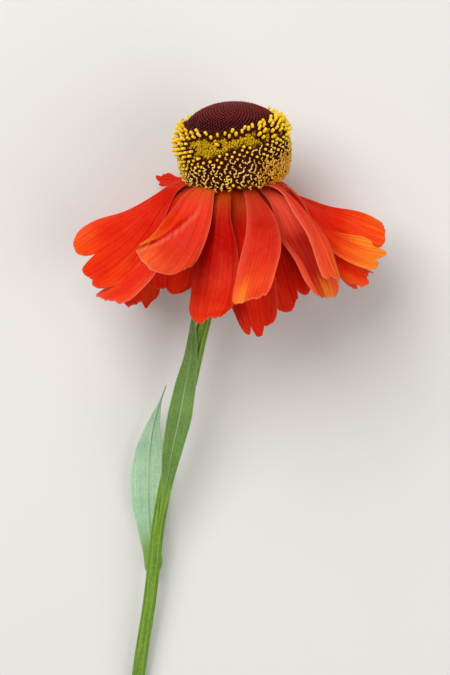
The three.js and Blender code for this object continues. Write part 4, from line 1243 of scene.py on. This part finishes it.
class FlowerColours(bpy.types.PropertyGroup):
    """Colours of the flower."""

    petal_red: colour("Petal red", "e42208")
    petal_orange: colour("Petal orange", "fa5010")
    petal_gold: colour("Petal gold", "ffa424")
    # deep red, also laid on as painted shade along creases, in hollows and on shaded petals
    petal_wine_and_shade: colour("Petal wine", "c00800")
    # pink, also laid on as painted light on lit lips and on petals the lamps leave darker
    petal_pink_and_light: colour("Petal pink", "fa6c50")
    # pale pink, laid on as painted highlight at the petals' margins and crease
    petal_rim_highlight: colour("Petal rim", "ffa888")
    petal_vein: colour("Petal vein", "9a0a02")
    petal_foot: colour("Petal foot", "cc5c10")
    bud_dark: colour("Bud dark", "2a0403")
    bud_dusk: colour("Bud dusk", "5c1612")
    bud_red: colour("Bud red", "98221c")
    bud_rose: colour("Bud rose", "84403e")
    floret_brown: colour("Floret brown", "480802")
    floret_gold: colour("Floret gold", "d8ac00")
    floret_olive: colour("Floret olive", "9c7a00")
    pollen_yellow: colour("Pollen yellow", "ffcc18")
    pollen_light: colour("Pollen light", "ffe656")
    style_cream: colour("Style cream", "f0d068")
    style_amber: colour("Style amber", "e09a20")
    cup_green: colour("Cup green", "86a044")
    cup_dark: colour("Cup dark", "5c7a28")
    stem_green: colour("Stem green", "84a82c")
    stem_dark: colour("Stem dark", "4c781c")
    stem_light: colour("Stem light", "a8c068")
    leaf_light: colour("Leaf light", "7c9e50")
    leaf_dark: colour("Leaf dark", "4e7030")
    pale_leaf_light: colour("Pale leaf light", "c4e2be")
    pale_leaf_dark: colour("Pale leaf dark", "94be98")
    midrib: colour("Midrib", "cce4a8")


class StageSettings(bpy.types.PropertyGroup):
    """The floor, the camera and the lights."""

    floor_colour: colour("Floor", "e4e2de")
    key_power: bpy.props.FloatProperty(name="Key light", description="Power of the main soft light",
                                       default=3.6, min=0, unit="POWER")
    fill_power: bpy.props.FloatProperty(name="Fill light", description="Power of the fill light",
                                        default=1.8, min=0, unit="POWER")
    ambient: bpy.props.FloatProperty(name="Ambient", description="Strength of the light all round",
                                     default=0.28, min=0)


class FLOWER_OT_petals(bpy.types.Operator):
    """Makes the 23 petals"""

    bl_idname = "flower.petals"
    bl_label = "Petals"

    def execute(self, context):
        material = petal_finish(context.scene.flower_colours)
        for form in PETALS:
            slot = "petal_orange" if form["layer"] == "upper" else "petal_red"
            add_piece(petal_skin(form), f"fine_{form['name']}", material, slot, form["name"])
        return {"FINISHED"}


class FLOWER_OT_disc(bpy.types.Operator):
    """Makes the cap of buds, the golden belt and the open florets"""

    bl_idname = "flower.disc"
    bl_label = "Disc"

    def execute(self, context):
        colours, sizes = context.scene.flower_colours, context.scene.flower_sizes
        florets = floret_finish(colours)
        for part, skin, finish in (("bud_cap", bud_cap_skin(sizes), bud_finish(colours)),
                                   ("anther_belt", belt_skin(sizes), florets),
                                   ("open_florets", open_floret_skin(sizes), florets)):
            add_piece(skin, f"fine_{part}", finish, f"disc_{part}", f"disc_{part}")
        return {"FINISHED"}


class FLOWER_OT_cup(bpy.types.Operator):
    """Makes the green cup and its bracts"""

    bl_idname = "flower.cup"
    bl_label = "Cup and bracts"

    def execute(self, context):
        colours = context.scene.flower_colours
        material = green_finish("cup", colours, colours.cup_green, colours.cup_dark, 0.0001)
        add_piece(cup_skin(), "fine_cup", material, "green_cup", "cup_and_bracts")
        return {"FINISHED"}


class FLOWER_OT_stem(bpy.types.Operator):
    """Makes the ribbed stem"""

    bl_idname = "flower.stem"
    bl_label = "Stem"

    def execute(self, context):
        material = stem_finish(context.scene.flower_colours)
        add_piece(stem_skin(), "fine_stem", material, "green_stem", "stem")
        return {"FINISHED"}


class FLOWER_OT_leaves(bpy.types.Operator):
    """Makes the two leaves"""

    bl_idname = "flower.leaves"
    bl_label = "Leaves"

    def execute(self, context):
        colours = context.scene.flower_colours
        for node, form in LEAVES.items():
            slot = form["slot"]
            light, dark = (getattr(colours, f"{slot}_{tone}") for tone in ("light", "dark"))
            material = green_finish(slot, colours, light, dark, 0.00015)
            add_piece(leaf_skin(form), f"fine_{node}", material, slot, node)
        return {"FINISHED"}


class FLOWER_OT_stage(bpy.types.Operator):
    """Makes the floor, the lights and the photograph's camera"""

    bl_idname = "flower.stage"
    bl_label = "Stage"

    def execute(self, context):
        settings = context.scene.flower_stage
        add_floor(settings)
        add_light("key", *KEY_LIGHT, settings.key_power)
        add_light("fill", *FILL_LIGHT, settings.fill_power)
        add_surroundings(context.scene, settings)
        add_camera(context.scene)
        return {"FINISHED"}


def add_floor(settings):
    """A plain pale floor at table height."""
    mesh = bpy.data.meshes.new("floor")
    s = FLOOR_HALF_SIZE
    mesh.from_pydata([(-s, -s, 0), (s, -s, 0), (s, s, 0), (-s, s, 0)], [], [(0, 1, 2, 3)])
    mesh.materials.append(Finish("floor").shade(Base_Color=settings.floor_colour, Roughness=0.9,
                                                Specular_IOR_Level=0.2))
    add_object("floor", mesh)


def add_light(name, place, size, power):
    """A square soft light that faces the middle of the flower."""
    light = bpy.data.lights.new(name, "AREA")
    light.size = size
    light.energy = power
    lamp = add_object(name, light)
    lamp.location = place
    middle = (CAD_BOX[0] + CAD_BOX[1]) / 2
    lamp.rotation_mode = "QUATERNION"
    lamp.rotation_quaternion = (middle - lamp.location).to_track_quat("-Z", "Y")


def add_surroundings(scene, settings):
    """Even pale light from all round."""
    world = bpy.data.worlds.new("surroundings")
    world.use_nodes = True
    glow = world.node_tree.nodes["Background"].inputs
    glow["Color"].default_value = (1, 1, 1, 1)
    glow["Strength"].default_value = settings.ambient
    scene.world = world
    scene.view_settings.view_transform = "Standard"


def add_camera(scene):
    """The camera looks straight down, and its lens gives the photograph's scale at the bloom."""
    data = bpy.data.cameras.new("camera")
    data.sensor_width = SENSOR
    pixels = (CAMERA_AT[2] - BLOOM_AT[2]) / PHOTO_MM_PER_PIXEL
    data.lens = pixels * SENSOR / PHOTO_HEIGHT
    data.clip_start, data.clip_end = 0.01, 10
    camera = add_object("camera", data)
    camera.location = [c * MM for c in CAMERA_AT]
    scene.camera = camera


class FLOWER_PT_panel(bpy.types.Panel):
    """Lists the flower's pieces and settings"""

    bl_label = "Sneezeweed"
    bl_idname = "FLOWER_PT_panel"
    bl_space_type = "VIEW_3D"
    bl_region_type = "UI"
    bl_category = "Sneezeweed"

    def draw(self, context):
        for operator in OPERATORS:
            self.layout.operator(operator.bl_idname)
        for group in (getattr(context.scene, name) for name in GROUPS):
            for name in group.bl_rna.properties.keys():
                if name not in ("rna_type", "name"):
                    self.layout.prop(group, name)


GROUPS = {"flower_sizes": FlowerSizes, "flower_colours": FlowerColours,
          "flower_stage": StageSettings}
OPERATORS = (FLOWER_OT_petals, FLOWER_OT_disc, FLOWER_OT_cup, FLOWER_OT_stem, FLOWER_OT_leaves,
             FLOWER_OT_stage)


def register():
    """Adds the settings, the operators and the panel to Blender."""
    for cls in (*GROUPS.values(), *OPERATORS, FLOWER_PT_panel):
        bpy.utils.register_class(cls)
    for name, group in GROUPS.items():
        setattr(bpy.types.Scene, name, bpy.props.PointerProperty(type=group))


def unregister():
    """Takes them out again."""
    for name in GROUPS:
        delattr(bpy.types.Scene, name)
    for cls in reversed((*GROUPS.values(), *OPERATORS, FLOWER_PT_panel)):
        bpy.utils.unregister_class(cls)


def main():
    """Registers the add-on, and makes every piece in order."""
    register()
    bpy.ops.flower.petals()
    bpy.ops.flower.disc()
    bpy.ops.flower.cup()
    bpy.ops.flower.stem()
    bpy.ops.flower.leaves()
    bpy.ops.flower.stage()


if __name__ == "__main__":
    main()
